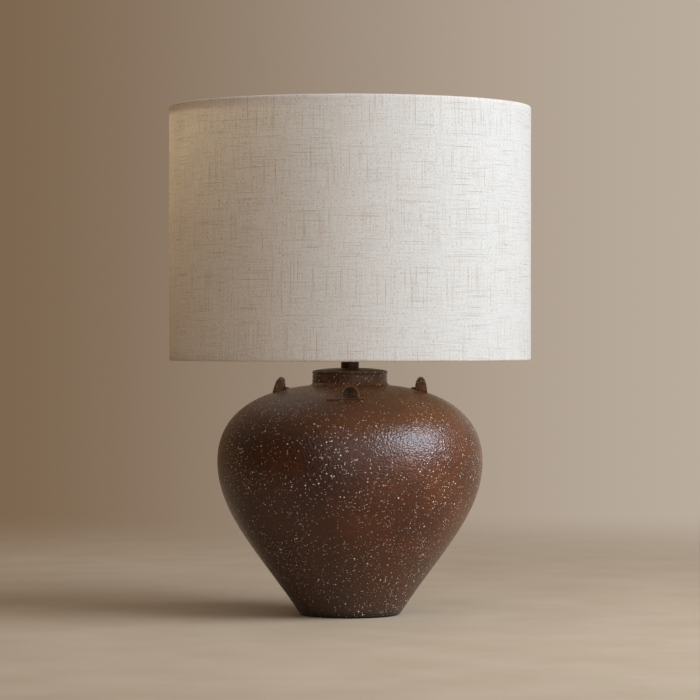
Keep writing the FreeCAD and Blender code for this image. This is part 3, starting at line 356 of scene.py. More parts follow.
LUG_HEIGHT, LUG_BASE_WIDTH, LUG_TOP_WIDTH, LUG_STRAP = 17.6 * MM, 27 * MM, 18.5 * MM, 3.5 * MM
LUG_ROOT, LUG_SIDES, LUG_STEP, LUG_SQUARE = 5 * MM, 18, 1.1 * MM, 0.8
# How far the crown's edges are bent down, and half the strap's depth at heights above the seat.
LUG_BEND = 2.2 * MM
LUG_DEPTHS = ((0, 8, 12, 15.8), (7.6, 6.9, 6.0, 4.7))
CLAY_GRID, CLAY_UNEVEN, CLAY_LUMP = 0.7 * MM, 0.35 * MM, 7 * MM
upper_wall = outside[(outside[:, 1] > BELLY_Z) & (outside[:, 1] < SHOULDER_Z)]


def lug_form(slips, lean, front):
    """The arch and its lumps of slip in the lug's own frame: x along the wall, y outwards, z up from its seat."""
    half_base = (LUG_BASE_WIDTH - LUG_STRAP) / 2
    half_top = (LUG_TOP_WIDTH - LUG_STRAP) / 2
    crown = LUG_HEIGHT - LUG_STRAP / 2
    line = [(-half_base, -LUG_ROOT), (-half_base, 0), (-half_top, crown)]
    line += [(-x, z) for x, z in reversed(line)]
    for _ in range(3):
        # Each corner is cut at a quarter of its sides, which leaves a round arch after three cuts.
        a, b = np.array(line[:-1]), np.array(line[1:])
        cuts = np.stack([0.75 * a + 0.25 * b, 0.25 * a + 0.75 * b], axis=1).reshape(-1, 2)
        line = np.vstack([line[0], cuts, line[-1]])
    line = paced(line, LUG_STEP)
    ways = np.gradient(line, axis=0)
    ways /= np.linalg.norm(ways, axis=1)[:, None]
    form = bmesh.new()
    rings = []
    for (x, z), (dx, dz) in zip(line, ways):
        half_depth = np.interp(z / MM, *LUG_DEPTHS) * MM
        shift = -lean * max(0, z) / crown
        ring = []
        for number in range(LUG_SIDES):
            turn = 2 * math.pi * number / LUG_SIDES
            thick = math.copysign(abs(math.cos(turn)) ** LUG_SQUARE, math.cos(turn)) * LUG_STRAP / 2
            side = math.copysign(abs(math.sin(turn)) ** LUG_SQUARE, math.sin(turn))
            deep = side * half_depth * (front if side > 0 else 1)
            thick -= LUG_BEND * (side * dx) ** 2
            ring.append(form.verts.new((x - dz * thick, deep + shift, z + dx * thick)))
        rings.append(ring)
    for first, second in zip(rings, rings[1:]):
        for n in range(LUG_SIDES):
            after = (n + 1) % LUG_SIDES
            form.faces.new((first[n], first[after], second[after], second[n]))
    form.faces.new(rings[0][::-1])
    form.faces.new(rings[-1])
    for x, y, z, wide, deep, tall in slips:
        shape = Matrix.Translation((x, y, z)) @ Matrix.Diagonal((wide, deep, tall, 1))
        bmesh.ops.create_icosphere(form, subdivisions=3, radius=1, matrix=shape)
    bmesh.ops.recalc_face_normals(form, faces=form.faces)
    return form


def as_clay(form, seed):
    """Points and faces of a form whose parts are joined, smoothed and left as uneven as clay."""
    rough = bpy.data.meshes.new("clay")
    form.to_mesh(rough)
    form.free()
    lump = bpy.data.objects.new("clay", rough)
    bpy.context.scene.collection.objects.link(lump)
    joined = lump.modifiers.new("joined", "REMESH")
    joined.mode = "VOXEL"
    joined.voxel_size = CLAY_GRID
    softened = lump.modifiers.new("softened", "SMOOTH")
    softened.factor = 0.5
    softened.iterations = 4
    settled = bpy.data.meshes.new_from_object(lump.evaluated_get(bpy.context.evaluated_depsgraph_get()))
    bpy.data.objects.remove(lump)
    points = []
    for vert in settled.vertices:
        uneven = noise.fractal((vert.co + Vector((seed, 0, 0))) / CLAY_LUMP, 1.0, 2.0, 2) * CLAY_UNEVEN
        points.append(vert.co + vert.normal * uneven)
    faces = [tuple(face.vertices) for face in settled.polygons]
    bpy.data.meshes.remove(settled)
    bpy.data.meshes.remove(rough)
    return points, faces


# Each lump of slip: how far along the wall and outwards from the seat, then its half width, depth and height, in mm.
NUB = ((-11, 2, 5.5, 6, 1.4), (11, 2, 5.5, 6, 1.4), (-3, -10, 5, 3.6, 2.4), (5, -9, 4, 3, 1.7))
LEDGE = ((-11, -2, 5, 4.5, 1.4), (11, -2, 5, 4.5, 1.4), (-27, 0, 3, 2.3, 2.3), (-22, 0.6, 5, 2.3, 1.5))
LEDGE += ((-15, 1.2, 5.5, 2.4, 1.3), (-7, 1.6, 6, 2.4, 1.2), (2, 1.6, 6, 2.2, 0.9), (12, 1.2, 6, 2, 0.8))
# The turn from the front towards the right in degrees, how far the lug leans inwards in mm, the share of its depth
# that the strap keeps on its outer side, and its slip.
LUGS = {
    "lug_front": (0, 1.0, 0.35, LEDGE),
    "lug_right": (90, 0.4, 1.0, NUB),
    "lug_back": (180, 1.5, 0.35, LEDGE),
    "lug_left": (270, 3.0, 1.0, NUB),
}
# Under each arch and behind it the jar is painted dark, as painted shade of the lug: half the shaded patch's width,
# its reach from the seat towards the collar, the width of its soft edge and how dark it gets.
LUG_SHADE_HALF, LUG_SHADE_BACK, LUG_SHADE_EDGE, LUG_SHADE_SHARE = 9 * MM, 42 * MM, 3.5 * MM, 0.92
jar_xy, above_belly = jar_points[:, :2], jar_points[:, 2] > BELLY_Z
lug_shade_mask = np.zeros(len(jar_points))
for number, (name, (around, lean, front, extra)) in enumerate(LUGS.items()):
    seat_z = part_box(name)[1].z - LUG_HEIGHT
    seat_radius = float(np.interp(seat_z, upper_wall[:, 1], upper_wall[:, 0]))
    outward = np.array([math.sin(math.radians(around)), -math.cos(math.radians(around))])
    reach = jar_xy @ outward
    beside = np.abs(jar_xy @ np.array([-outward[1], outward[0]]))
    from_edge = np.minimum.reduce([LUG_SHADE_HALF - beside, seat_radius - reach, reach - seat_radius + LUG_SHADE_BACK])
    lug_shade_mask = np.maximum(lug_shade_mask, np.clip(from_edge / LUG_SHADE_EDGE, 0, 1) * LUG_SHADE_SHARE * above_belly)
    slips = []
    for x, out, *halves in extra:
        reach = math.hypot(x * MM, seat_radius + out * MM)
        wall_z = float(np.interp(reach, upper_wall[::-1, 0], upper_wall[::-1, 1]))
        slips.append((x * MM, out * MM, wall_z - seat_z, *[half * MM for half in halves]))
    points, faces = as_clay(lug_form(slips, lean * MM, front), number * 0.5)
    seat = Matrix.Rotation(math.radians(around), 4, "Z") @ Matrix.Translation((0, -seat_radius, seat_z))
    seat = seat @ Matrix.Diagonal((1, -1, 1, 1))
    made(name + "_clay", [seat @ p for p in points], [f[::-1] for f in faces], stoneware, "root", [name])
jar_body.data.attributes.new("lug_shade_mask", "FLOAT", "POINT").data.foreach_set("value", lug_shade_mask)


# Cord grommet.
# A moulded ring of soft black PVC, pushed into the hole in the back of the foot so that the clay can't cut a lead.
# It is satin, with the fine spark-eroded grain of its mould.

MOULD_GRAIN = 0.5 * MM
soft_pvc, tree, skin, place = new_finish("soft_black_pvc", roughness=0.46)
grain = add(tree, "TexNoise", {"Vector": place, "Scale": 1 / MOULD_GRAIN, "Detail": 2.0})
add(tree, "ValToRGB", {"Fac": grain}, [(0.3, "#151312"), (0.7, "#22201e")], skin["Base Color"])
add(tree, "Bump", {"Height": grain, "Strength": 0.4, "Distance": 0.1 * MM}, to=skin["Normal"])
dress(soft_pvc, "cord_grommet")


# Washer, nut and centre rod.
# Zinc-plated steel, bluish grey with the faint spangle of the bath. The rod is lamp pipe with a 27-per-inch thread
# rolled over its whole length; the nut draws the washer up against the floor of the foot and clamps the stack.

SPANGLE = 2 * MM
ROD_PITCH = 25.4 / 27 * MM
zinc, tree, skin, place = new_finish("zinc_plated_steel", metallic=1.0)
spangle = add(tree, "TexVoronoi", {"Vector": place, "Scale": 1 / SPANGLE}).outputs["Color"]
spangle = add(tree, "SeparateColor", {"Color": spangle})
add(tree, "ValToRGB", {"Fac": spangle}, [(0.2, "#a9acae"), (0.8, "#c6c9cb")], skin["Base Color"])
add(tree, "MapRange", {"Value": spangle, "To Min": 0.28, "To Max": 0.42}, to=skin["Roughness"])
dress(zinc, "base_washer", "base_nut")

threaded, tree, skin, place = new_finish("threaded_zinc_steel", metallic=1.0, roughness=0.36)
spot = add(tree, "SeparateXYZ", {"Vector": place}).outputs
around = add(tree, "Math", {"Value": spot["Y"], "Value_001": spot["X"]}, operation="ARCTAN2")
around = add(tree, "Math", {"Value": around, "Value_001": 2 * math.pi}, operation="DIVIDE")
climb = add(tree, "Math", {"Value": spot["Z"], "Value_001": ROD_PITCH}, operation="DIVIDE")
climb = add(tree, "Math", {"Value": climb, "Value_001": around}, operation="SUBTRACT")
ridge = add(tree, "Math", {"Value": climb, "Value_001": 0.5}, operation="PINGPONG")
# The thread's grooves are painted darker than its crests: painted shade.
add(tree, "ValToRGB", {"Fac": ridge}, [(0.0, "#7d8082"), (0.3, "#b9bcbe")], skin["Base Color"])
add(tree, "Bump", {"Height": ridge, "Strength": 1.0, "Distance": ROD_PITCH}, to=skin["Normal"])
dress(threaded, "center_rod")


# Cap, neck, check ring, harp and finial.
# The cap is spun, the neck is drawn tube, the harp is bent wire on a pressed saddle, locked by two ferrules, and
# the finial is turned. All are darkened to an oiled bronze, a little lighter where hands have rubbed them, and
# fine lines run round them from the spinning and turning.

BRONZE_PATCH, TURNED_LINE = 14 * MM, 0.35 * MM
bronze, tree, skin, place = new_finish("oiled_bronze", metallic=0.7)
patch = add(tree, "TexNoise", {"Vector": place, "Scale": 1 / BRONZE_PATCH, "Detail": 4.0})
add(tree, "ValToRGB", {"Fac": patch}, [(0.3, "#2b1c14"), (0.55, "#3d281b"), (0.75, "#563a26")], skin["Base Color"])
worn = {"Value": patch, "From Min": 0.3, "From Max": 0.7, "To Min": 0.46, "To Max": 0.3}
add(tree, "MapRange", worn, to=skin["Roughness"])
spot = add(tree, "SeparateXYZ", {"Vector": place}).outputs
out = add(tree, "CombineXYZ", {"X": spot["X"], "Y": spot["Y"]})
out = add(tree, "VectorMath", {"Vector": out}, operation="LENGTH")
lines = add(tree, "CombineXYZ", {"X": out, "Y": spot["Z"]})
lines = add(tree, "TexNoise", {"Vector": lines, "Scale": 1 / TURNED_LINE, "Detail": 2.0})
add(tree, "Bump", {"Height": lines, "Strength": 0.5, "Distance": 0.05 * MM}, to=skin["Normal"])
dress(bronze, "vase_cap", "neck_tube", "neck_check_ring", "harp_saddle", "harp_bow", "harp_stud")
dress(bronze, "ferrule_left", "ferrule_right", "finial_base", "finial_knob")


# Socket cap, set screw and shell.
# Deep-drawn brass, plated and lacquered, so it is bright with soft clouds. The shell snaps into the cap.


def bright_metal(name, stops, smooth, rough, cloud):
    """A bright metal whose colour and roughness drift in soft clouds."""
    material, tree, skin, place = new_finish(name, metallic=1.0)
    drift = add(tree, "TexNoise", {"Vector": place, "Scale": 1 / cloud, "Detail": 5.0})
    add(tree, "ValToRGB", {"Fac": drift}, stops, skin["Base Color"])
    dull = {"Value": drift, "From Min": 0.3, "From Max": 0.7, "To Min": smooth, "To Max": rough}
    add(tree, "MapRange", dull, to=skin["Roughness"])
    return material


plated = bright_metal("plated_brass", [(0.3, "#b8914c"), (0.7, "#d1ac66")], 0.2, 0.3, 18 * MM)
dress(plated, "socket_cap", "socket_set_screw", "socket_shell")


# Sleeve, core, terminals, screw shell and centre contact.
# The fibre sleeve, matt and streaked along its length, keeps the plated shell off the live parts. The core is
# moulded phenolic, near black with faint flecks, with the switch inside. Its screws, the rolled screw shell, the
# sprung contact and the switch's spindle are bare brass, duller and browner than the shell.

BOARD_FIBRE, CORE_FLECK = 0.8 * MM, 1.1 * MM
fibre_board, tree, skin, place = new_finish("pressed_fibre_board", roughness=0.85)
laid = add(tree, "Mapping", {"Vector": place, "Scale": (1.0, 1.0, 0.15)})
fibres = add(tree, "TexNoise", {"Vector": laid, "Scale": 1 / BOARD_FIBRE, "Detail": 4.0})
add(tree, "ValToRGB", {"Fac": fibres}, [(0.3, "#6f5338"), (0.7, "#96764f")], skin["Base Color"])
add(tree, "Bump", {"Height": fibres, "Strength": 0.5, "Distance": 0.1 * MM}, to=skin["Normal"])
dress(fibre_board, "socket_sleeve")

phenolic, tree, skin, place = new_finish("moulded_phenolic", roughness=0.38)
fleck = add(tree, "TexNoise", {"Vector": place, "Scale": 1 / CORE_FLECK, "Detail": 3.0})
add(tree, "ValToRGB", {"Fac": fleck}, [(0.4, "#191210"), (0.65, "#2c201a")], skin["Base Color"])
dress(phenolic, "socket_core")

bare_brass = bright_metal("bare_brass", [(0.3, "#9a7a3d"), (0.7, "#bd9a56")], 0.3, 0.44, 9 * MM)
dress(bare_brass, "terminal_screws", "socket_screw_shell", "center_contact", "switch_spindle")


# Switch knob.
# A knob of moulded black phenolic, pressed on the spindle, waisted behind and fluted round its grip. Its black is
# satin, so that the flutes catch the light.

KNOB_RADIUS, KNOB_WAIST, KNOB_ROUND, KNOB_STEP = 5.5 * MM, 4.0 * MM, 0.9 * MM, 0.35 * MM
KNOB_FLUTES, FLUTE_DEPTH, FLUTE_COLUMNS = 20, 0.35 * MM, 8
# The shares of the knob's length at which its waist ends, its grip starts and its front edge rounds off.
WAIST_END, GRIP_START, GRIP_END = 0.3, 0.45, 0.93
knob_low, knob_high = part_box("switch_knob")
knob_z = (knob_low.z + knob_high.z) / 2
knob_length = knob_high.y - knob_low.y
knob_line = [(0, 0), (KNOB_WAIST, 0), (KNOB_WAIST, WAIST_END), (KNOB_RADIUS, GRIP_START), (KNOB_RADIUS, GRIP_END)]
knob_line += [(KNOB_RADIUS - KNOB_ROUND, 1.0), (0, 1.0)]
knob_line = paced([(radius, along * knob_length) for radius, along in knob_line], KNOB_STEP)
turns = np.linspace(0, 2 * math.pi, KNOB_FLUTES * FLUTE_COLUMNS, endpoint=False)
points = []
for radius, along in knob_line:
    grip = np.clip((radius - KNOB_WAIST) / (KNOB_RADIUS - KNOB_WAIST), 0, 1) * (along > GRIP_START * knob_length)
    reach = radius - FLUTE_DEPTH * grip * (0.5 + 0.5 * np.cos(turns * KNOB_FLUTES))
    points += [(r * math.sin(t), knob_high.y - along, knob_z + r * math.cos(t)) for r, t in zip(reach, turns)]
knob_black, tree, skin, place = new_finish("moulded_black_knob", roughness=0.34)
grain = add(tree, "TexNoise", {"Vector": place, "Scale": 1 / MOULD_GRAIN, "Detail": 2.0})
add(tree, "ValToRGB", {"Fac": grain}, [(0.3, "#0f0e0d"), (0.7, "#1b1918")], skin["Base Color"])
faces = woven(len(knob_line), len(turns))
made("switch_knob_grip", points, faces, knob_black, "switch", ["switch_knob"])


# Bulb.
# An opal A19: a blown globe cemented in a thin aluminium base with a rolled E26 thread, black glass under it and a
# dull dot of solder on its tip. The globe is white inside, so that it looks milky under its gloss.

THREAD_PITCH, THREAD_RADIUS, THREAD_DEPTH = 25.4 / 7 * MM, 13 * MM, 0.75 * MM
THREAD_MARGIN, THREAD_STEP, BASE_WALL = 1.6 * MM, 0.3 * MM, 0.4 * MM
base_low, base_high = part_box("bulb_base")
turns = np.linspace(0, 2 * math.pi, 120, endpoint=False)
skirt = np.arange(base_low.z, base_high.z, THREAD_STEP)
points = []
for side, heights in ((0, skirt), (BASE_WALL, skirt[::-1])):
    for z in heights:
        run_out = np.clip(min(z - base_low.z, base_high.z - z) / THREAD_MARGIN, 0, 1)
        wave = 0.5 + 0.5 * np.cos(2 * math.pi * z / THREAD_PITCH - turns)
        reach = THREAD_RADIUS - side - THREAD_DEPTH * (1 - wave * run_out)
        points += [(r * math.cos(t), r * math.sin(t), z) for r, t in zip(reach, turns)]
aluminium = bright_metal("rolled_aluminium", [(0.3, "#b4b6b8"), (0.7, "#cfd1d2")], 0.24, 0.36, 10 * MM)
faces = woven(2 * len(skirt), len(turns), round_rows=True)
made("bulb_base_thread", points, faces, aluminium, "bulb", ["bulb_base"])

solder = bright_metal("tinned_solder", [(0.3, "#85878a"), (0.7, "#a2a4a6")], 0.34, 0.5, 3 * MM)
dress(solder, "bulb_contact")
GLASS_STREAK, MILK = 4 * MM, 35 * MM
black_glass, tree, skin, place = new_finish("black_glass", roughness=0.1)
streak = add(tree, "TexNoise", {"Vector": place, "Scale": 1 / GLASS_STREAK, "Detail": 2.0})
add(tree, "ValToRGB", {"Fac": streak}, [(0.3, "#08080a"), (0.7, "#141418")], skin["Base Color"])
dress(black_glass, "bulb_insulator")
opal, tree, skin, place = new_finish("opal_glass", roughness=0.14, ior=1.5)
milk = add(tree, "TexNoise", {"Vector": place, "Scale": 1 / MILK, "Detail": 2.0})
add(tree, "ValToRGB", {"Fac": milk}, [(0.3, "#e9e6e0"), (0.7, "#f4f2ee")], skin["Base Color"])
dress(opal, "bulb_glass")


# Spider and rings.
# Steel wire, butt-welded into two rings and a three-armed spider, and dipped in white enamel that pooled a little.

ENAMEL_POOL = 9 * MM
enamel, tree, skin, place = new_finish("white_enamelled_wire", roughness=0.36, coat_weight=0.3, coat_roughness=0.15)
# Here the noise is only the enamel's own uneven pooling.
pooling_and_shade = add(tree, "TexNoise", {"Vector": place, "Scale": 1 / ENAMEL_POOL, "Detail": 3.0})
add(tree, "ValToRGB", {"Fac": pooling_and_shade}, [(0.3, "#d0ccc3"), (0.7, "#e3e0d9")], skin["Base Color"])
add(tree, "Bump", {"Height": pooling_and_shade, "Strength": 0.3, "Distance": 0.2 * MM}, to=skin["Normal"])
dress(enamel, "spider_fitter", "shade_top_ring", "shade_bottom_ring")


# Shade fabric.
# One strip of oatmeal linen, laminated to the liner, lapped at the back and rolled round a wire ring at both ends,
# where its hem is tucked in. The yarn is uneven, with thick slubs and brown straw-like threads both ways.

SHADE_RADIUS, ROLL_RADIUS, HEM = 228.6 * MM, 2.5 * MM, 6 * MM
LAP, LAP_STEP, LAP_BLEND = 9 * MM, 0.55 * MM, 3 * MM
CLOTH_STEP, CLOTH_COLUMNS, ROLL_STEPS = 3 * MM, 960, 14
CLOTH_WAVER, WAVER_SIZES = 0.2 * MM, (60 * MM, 15 * MM)
ARM_ANGLES, ARM_CLEARANCE = (90, 210, 330), 2.4 * MM
cloth_low, cloth_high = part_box("shade_fabric")
top_z, foot_z = cloth_high.z - ROLL_RADIUS, cloth_low.z + ROLL_RADIUS
roll_centre = SHADE_RADIUS - ROLL_RADIUS
hem_radius = roll_centre - ROLL_RADIUS


def roll(z_centre, start):
    """A half turn of cloth round a ring, from an angle in degrees."""
    turns = [math.radians(start + 180 * n / ROLL_STEPS) for n in range(ROLL_STEPS + 1)]
    return [(roll_centre + ROLL_RADIUS * math.cos(t), z_centre + ROLL_RADIUS * math.sin(t)) for t in turns]


drop = paced([(SHADE_RADIUS, foot_z), (SHADE_RADIUS, top_z)], CLOTH_STEP)
cloth_line = [(hem_radius, foot_z + HEM), (hem_radius, foot_z + HEM / 2)] + roll(foot_z, 180)
cloth_line += [tuple(p) for p in drop[1:-1]]
cloth_line += roll(top_z, 0) + [(hem_radius, top_z - HEM / 2), (hem_radius, top_z - HEM)]
cloth_line = np.array(cloth_line)
cloth_marks = np.r_[0, np.cumsum(np.linalg.norm(np.diff(cloth_line, axis=0), axis=1))]
# The strip starts and ends at the back, and its end lies over its start.
runs = np.linspace(0, 2 * math.pi * SHADE_RADIUS + LAP, CLOTH_COLUMNS)
points, places = [], []
for (radius, z), mark in zip(cloth_line, cloth_marks):
    outer = np.clip((radius - roll_centre) / ROLL_RADIUS, -1, 1)
    for run in runs:
        turn = run / SHADE_RADIUS
        x, y = -math.sin(turn), math.cos(turn)
        rise = LAP_STEP * np.clip((run - runs[-1] + LAP + LAP_BLEND) / LAP_BLEND, 0, 1)
        wide, tight = (rough_at(x * radius, y * radius, z, size) for size in WAVER_SIZES)
        reach = radius + (rise + CLOTH_WAVER * (wide + 0.4 * tight)) * outer
        points.append((x * reach, y * reach, z))
        places.append((run, mark))
# The hem is notched where the spider's arms come in to the upper ring.
faces = []
for face in woven(len(cloth_line), len(runs), round_columns=False):
    spot = Vector(points[face[0]])
    if spot.xy.length < roll_centre and abs(spot.z - top_z) < ARM_CLEARANCE:
        bearing = math.degrees(math.atan2(spot.y, spot.x))
        aside = min(abs((bearing - angle + 180) % 360 - 180) for angle in ARM_ANGLES)
        if math.radians(aside) * hem_radius < ARM_CLEARANCE:
            continue
    faces.append(face)

# Linen is matt, cool white where light falls on it and warm where light comes through it. Its yarns are finer
# than a pixel, so their short specks are drawn at twice their width; the streaks and brown straws have their real
# size. The last value is the share of the light that goes through the cloth.
SPECK, SPECK_RUN = 1.25 * MM, 3.6 * MM
STREAK, STREAK_RUN = 1.3 * MM, 32 * MM
STRAW, STRAW_RUN = 1.1 * MM, 70 * MM
KNOT, KNOTS_APART, KNOT_SHARE = 1.6 * MM, 45 * MM, 0.3
YARN_EDGE, YARN_TINT, YARN_RISE = 0.13, 0.65, 0.2
LINEN_LIGHT = 0.45
linen, tree, skin, place = new_finish("slubby_oatmeal_linen", roughness=0.9, sheen_weight=0.15, sheen_roughness=0.5)
weave_at = add(tree, "UVMap", uv_map="Cloth")


def yarns(across, along, shift):
    """Noise in long streaks across the cloth's (u, v) in metres, from 0 to 1."""
    scaled = {"Vector": weave_at, "Location": (shift, shift, shift), "Scale": (1 / across, 1 / along, 1)}
    scaled = add(tree, "Mapping", scaled)
    return add(tree, "TexNoise", {"Vector": scaled, "Scale": 1.0, "Detail": 2.0, "Roughness": 0.6})


specks = add(tree, "Mix", {"Factor": 0.5, "A": yarns(SPECK, SPECK_RUN, 3.0), "B": yarns(SPECK_RUN, SPECK, 11.0)})
streaks = add(tree, "Mix", {"Factor": 0.5, "A": yarns(STREAK, STREAK_RUN, 5.0), "B": yarns(STREAK_RUN, STREAK, 17.0)})
weave = add(tree, "Mix", {"Factor": 0.38, "A": specks, "B": streaks})
cream = add(tree, "ValToRGB", {"Fac": weave}, [(0.36, "#d6c29c"), (0.46, "#ebebe6"), (0.6, "#f0f6f8")])
brown = add(tree, "Math", {"Value": 0.0, "Value_001": 0.0}, operation="MAXIMUM")
for across, along, shift, start, strength in (
    (SPECK, SPECK_RUN, 23.0, 0.62, 0.35),
    (SPECK_RUN, SPECK, 37.0, 0.62, 0.35),
    (STRAW, STRAW_RUN, 51.0, 0.58, 0.75),
    (STRAW_RUN, STRAW, 67.0, 0.58, 0.75),
):
    band = {"Value": yarns(across, along, shift), "From Min": start, "From Max": start + YARN_EDGE, "To Max": strength}
    brown = add(tree, "Math", {"Value": brown, "Value_001": add(tree, "MapRange", band)}, operation="MAXIMUM")
cells = add(tree, "TexVoronoi", {"Vector": weave_at, "Scale": 1 / KNOTS_APART}, voronoi_dimensions="2D")
lot = add(tree, "SeparateColor", {"Color": cells.outputs["Color"]})
knots = {"Value": cells, "From Min": KNOT / KNOTS_APART, "From Max": 0.3 * KNOT / KNOTS_APART, "To Max": 0.7}
knots = add(tree, "MapRange", knots)
lot = add(tree, "Math", {"Value": lot, "Value_001": KNOT_SHARE}, operation="LESS_THAN")
knots = add(tree, "Math", {"Value": knots, "Value_001": lot}, operation="MULTIPLY")
brown = add(tree, "Math", {"Value": brown, "Value_001": knots}, operation="MAXIMUM")
faint = add(tree, "Math", {"Value": brown, "Value_001": YARN_TINT}, operation="MULTIPLY")
add(tree, "Mix", {"Factor": faint, "A": cream, "B": tone("#b88a42")}, to=skin["Base Color"], data_type="RGBA")
relief = {"Value": brown, "Value_001": YARN_RISE, "Value_002": weave}
relief = add(tree, "Math", relief, operation="MULTIPLY_ADD")
raised = add(tree, "Bump", {"Height": relief, "Strength": 0.5, "Distance": 0.4 * MM}, to=skin["Normal"])
# Seen against the light that comes through, thick yarns stand out darker and browner.
thick = add(tree, "ValToRGB", {"Fac": weave}, [(0.36, "#bc8a52"), (0.48, "#f0cb94"), (0.6, "#fae1b7")])
thick = add(tree, "Mix", {"Factor": brown, "A": thick, "B": tone("#a36c26")}, data_type="RGBA")
glow = add(tree, "BsdfTranslucent", {"Color": thick, "Normal": raised})
both = {"Fac": LINEN_LIGHT, "Shader": tree.nodes["Principled BSDF"], "Shader_001": glow}
add(tree, "MixShader", both, to=tree.nodes["Material Output"].inputs["Surface"])

cloth = made("shade_linen", points, faces, linen, "shade", ["shade_fabric"])
corners = np.empty(len(cloth.data.loops), int)
cloth.data.loops.foreach_get("vertex_index", corners)
cloth.data.uv_layers.new(name="Cloth").data.foreach_set("uv", np.array(places)[corners].ravel())
rings = ("shade_top_ring", "shade_bottom_ring")


# Shade liner.
# A sheet of stiff white styrene, curled into a drum and lapped at the back. It lets most of the light through.

LINER_RADIUS, LINER_LAP, LINER_STEP, LINER_COLUMNS = 227.4 * MM, 12 * MM, 12 * MM, 480
HAZE = 30 * MM
LINER_LIGHT = 0.75
liner_low, liner_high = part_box("shade_liner")
heights = paced([(0, liner_low.z), (0, liner_high.z)], LINER_STEP)[:, 1]
runs = np.linspace(0, 2 * math.pi * LINER_RADIUS + LINER_LAP, LINER_COLUMNS)
points = []
for z in heights:
    for run in runs:
        turn = run / LINER_RADIUS
        reach = LINER_RADIUS + LAP_STEP * np.clip((run - runs[-1] + LINER_LAP + LAP_BLEND) / LAP_BLEND, 0, 1)
        points.append((-math.sin(turn) * reach, math.cos(turn) * reach, z))
styrene, tree, skin, place = new_finish("white_styrene_sheet", roughness=0.5)
haze = add(tree, "TexNoise", {"Vector": place, "Scale": 1 / HAZE, "Detail": 2.0})
white = add(tree, "ValToRGB", {"Fac": haze}, [(0.3, "#e4e1da"), (0.7, "#efede8")], skin["Base Color"])
both = {"Fac": LINER_LIGHT, "Shader": tree.nodes["Principled BSDF"]}
both["Shader_001"] = add(tree, "BsdfTranslucent", {"Color": white})
add(tree, "MixShader", both, to=tree.nodes["Material Output"].inputs["Surface"])
faces = woven(len(heights), len(runs), round_columns=False)
made("shade_liner_sheet", points, faces, styrene, "shade", ["shade_liner"])


# Floor, light and camera.
# A plain pale floor that fades into a warm dim room, a large cool soft light high on the right, a paler and wider
# one in front above the camera, and a long lens at the height of the lamp.

FLOOR_RADIUS, FLOOR_FADE, FLOOR_PATCH = 6.0, (0.7, 2.4), 0.12
WINDOW_WIDTH, WINDOW_HEIGHT, WINDOW_DISTANCE = 2.2, 1.4, 2.4
WINDOW_ROUND, WINDOW_UP = math.radians(66), math.radians(29)
WINDOW_POWER = 75
WINDOW_TONE = "#dcedff"
FRONT_LIGHT, FRONT_EDGES = (0.45, -0.78, 0.43), (0.5, 0.8)
LAMP_MIDDLE = Vector((0, 0, 0.33))
bpy.ops.mesh.primitive_circle_add(vertices=128, radius=FLOOR_RADIUS, fill_type="NGON")
ground = bpy.context.object
ground.name = "studio_floor"
pale, tree, skin, place = new_finish("pale_floor_paint", roughness=0.8)
away = add(tree, "VectorMath", {"Vector": place}, operation="LENGTH")
fade = {"Value": away, "From Min": FLOOR_FADE[0], "From Max": FLOOR_FADE[1]}
fade = add(tree, "MapRange", fade, interpolation_type="SMOOTHSTEP")
patchy = add(tree, "TexNoise", {"Vector": place, "Scale": 1 / FLOOR_PATCH, "Detail": 3.0})
add(tree, "ValToRGB", {"Fac": patchy}, [(0.3, "#b49e84"), (0.7, "#bda78e")], skin["Base Color"])
both = {"Fac": fade, "Shader": tree.nodes["Principled BSDF"], "Shader_001": add(tree, "BsdfTransparent")}
add(tree, "MixShader", both, to=tree.nodes["Material Output"].inputs["Surface"])
ground.data.materials.append(pale)

# The room is paler behind the lamp and towards the window, and darker and warmer to the left and in front. Each
# change runs between two parts of the direction, along X, Y and Z.
LEFT_TO_RIGHT, FRONT_TO_BACK, WALL_TO_CEILING = (-0.14, 0.14), (-0.6, 0.6), (0.1, 0.8)
world = bpy.data.worlds.new("warm_room")
bpy.context.scene.world = world
world.use_nodes = True
tree = world.node_tree
way = add(tree, "SeparateXYZ", {"Vector": add(tree, "TexCoord").outputs["Generated"]}).outputs
shares = []
for axis, (start, end) in (("X", LEFT_TO_RIGHT), ("Y", FRONT_TO_BACK), ("Z", WALL_TO_CEILING)):
    reached = {"Value": way[axis], "From Min": start, "From Max": end}
    shares.append(add(tree, "MapRange", reached, interpolation_type="SMOOTHSTEP"))
aside, behind, above = shares
wall = add(tree, "ValToRGB", {"Fac": aside}, [(0.0, "#7a634b"), (1.0, "#bcae9f")])
front = add(tree, "ValToRGB", {"Fac": aside}, [(0.0, "#5c3d22"), (1.0, "#8b857c")])
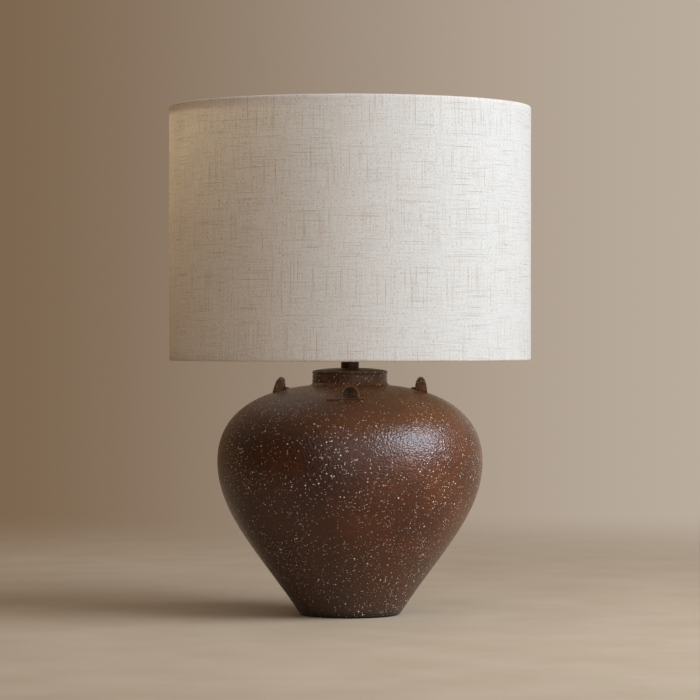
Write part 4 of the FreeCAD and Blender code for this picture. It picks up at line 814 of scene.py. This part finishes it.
walls = add(tree, "Mix", {"Factor": behind, "A": front, "B": wall}, data_type="RGBA")
room = add(tree, "Mix", {"Factor": above, "A": walls, "B": tone("#867b6f")}, data_type="RGBA")
# The wide front light is a soft round patch of this sky. It lights the lamp and shows in its gloss, and the camera
# itself doesn't see it, so that the room stays plain from every side.
facing = {"Vector": add(tree, "TexCoord").outputs["Generated"], "Vector_001": FRONT_LIGHT}
facing = add(tree, "VectorMath", facing, operation="DOT_PRODUCT")
facing = {"Value": facing, "From Min": FRONT_EDGES[0], "From Max": FRONT_EDGES[1]}
facing = add(tree, "MapRange", facing, interpolation_type="SMOOTHSTEP")
seen = add(tree, "LightPath").outputs["Is Camera Ray"]
facing = add(tree, "Mix", {"Factor": seen, "A": facing, "B": 0.0})
room = {"Factor": facing, "A": room, "B": tone("#fffefc")}
add(tree, "Mix", room, to=tree.nodes["Background"].inputs["Color"], data_type="RGBA")

window = bpy.data.lights.new("window", "AREA")
window.shape = "ELLIPSE"
window.size, window.size_y = WINDOW_WIDTH, WINDOW_HEIGHT
window.energy = WINDOW_POWER
window.color = tone(WINDOW_TONE)[:3]
opening = bpy.data.objects.new("window", window)
bpy.context.scene.collection.objects.link(opening)
towards = Vector((math.sin(WINDOW_ROUND), -math.cos(WINDOW_ROUND), math.tan(WINDOW_UP))).normalized()
opening.location = LAMP_MIDDLE + towards * WINDOW_DISTANCE
opening.rotation_euler = towards.to_track_quat("Z", "Y").to_euler()
opening.visible_camera = False

CAMERA_BACK, CAMERA_HEIGHT, CAMERA_TILT, CAMERA_LENS, CAMERA_SENSOR = 3.987, 0.3486, 0.2, 162, 36
view = bpy.data.objects.new("camera", bpy.data.cameras.new("camera"))
bpy.context.scene.collection.objects.link(view)
view.location = (0, -CAMERA_BACK, CAMERA_HEIGHT)
view.rotation_euler = (math.radians(90 - CAMERA_TILT), 0, 0)
view.data.lens, view.data.sensor_width = CAMERA_LENS, CAMERA_SENSOR
bpy.context.scene.camera = view
bpy.context.scene.view_settings.view_transform = "Standard"
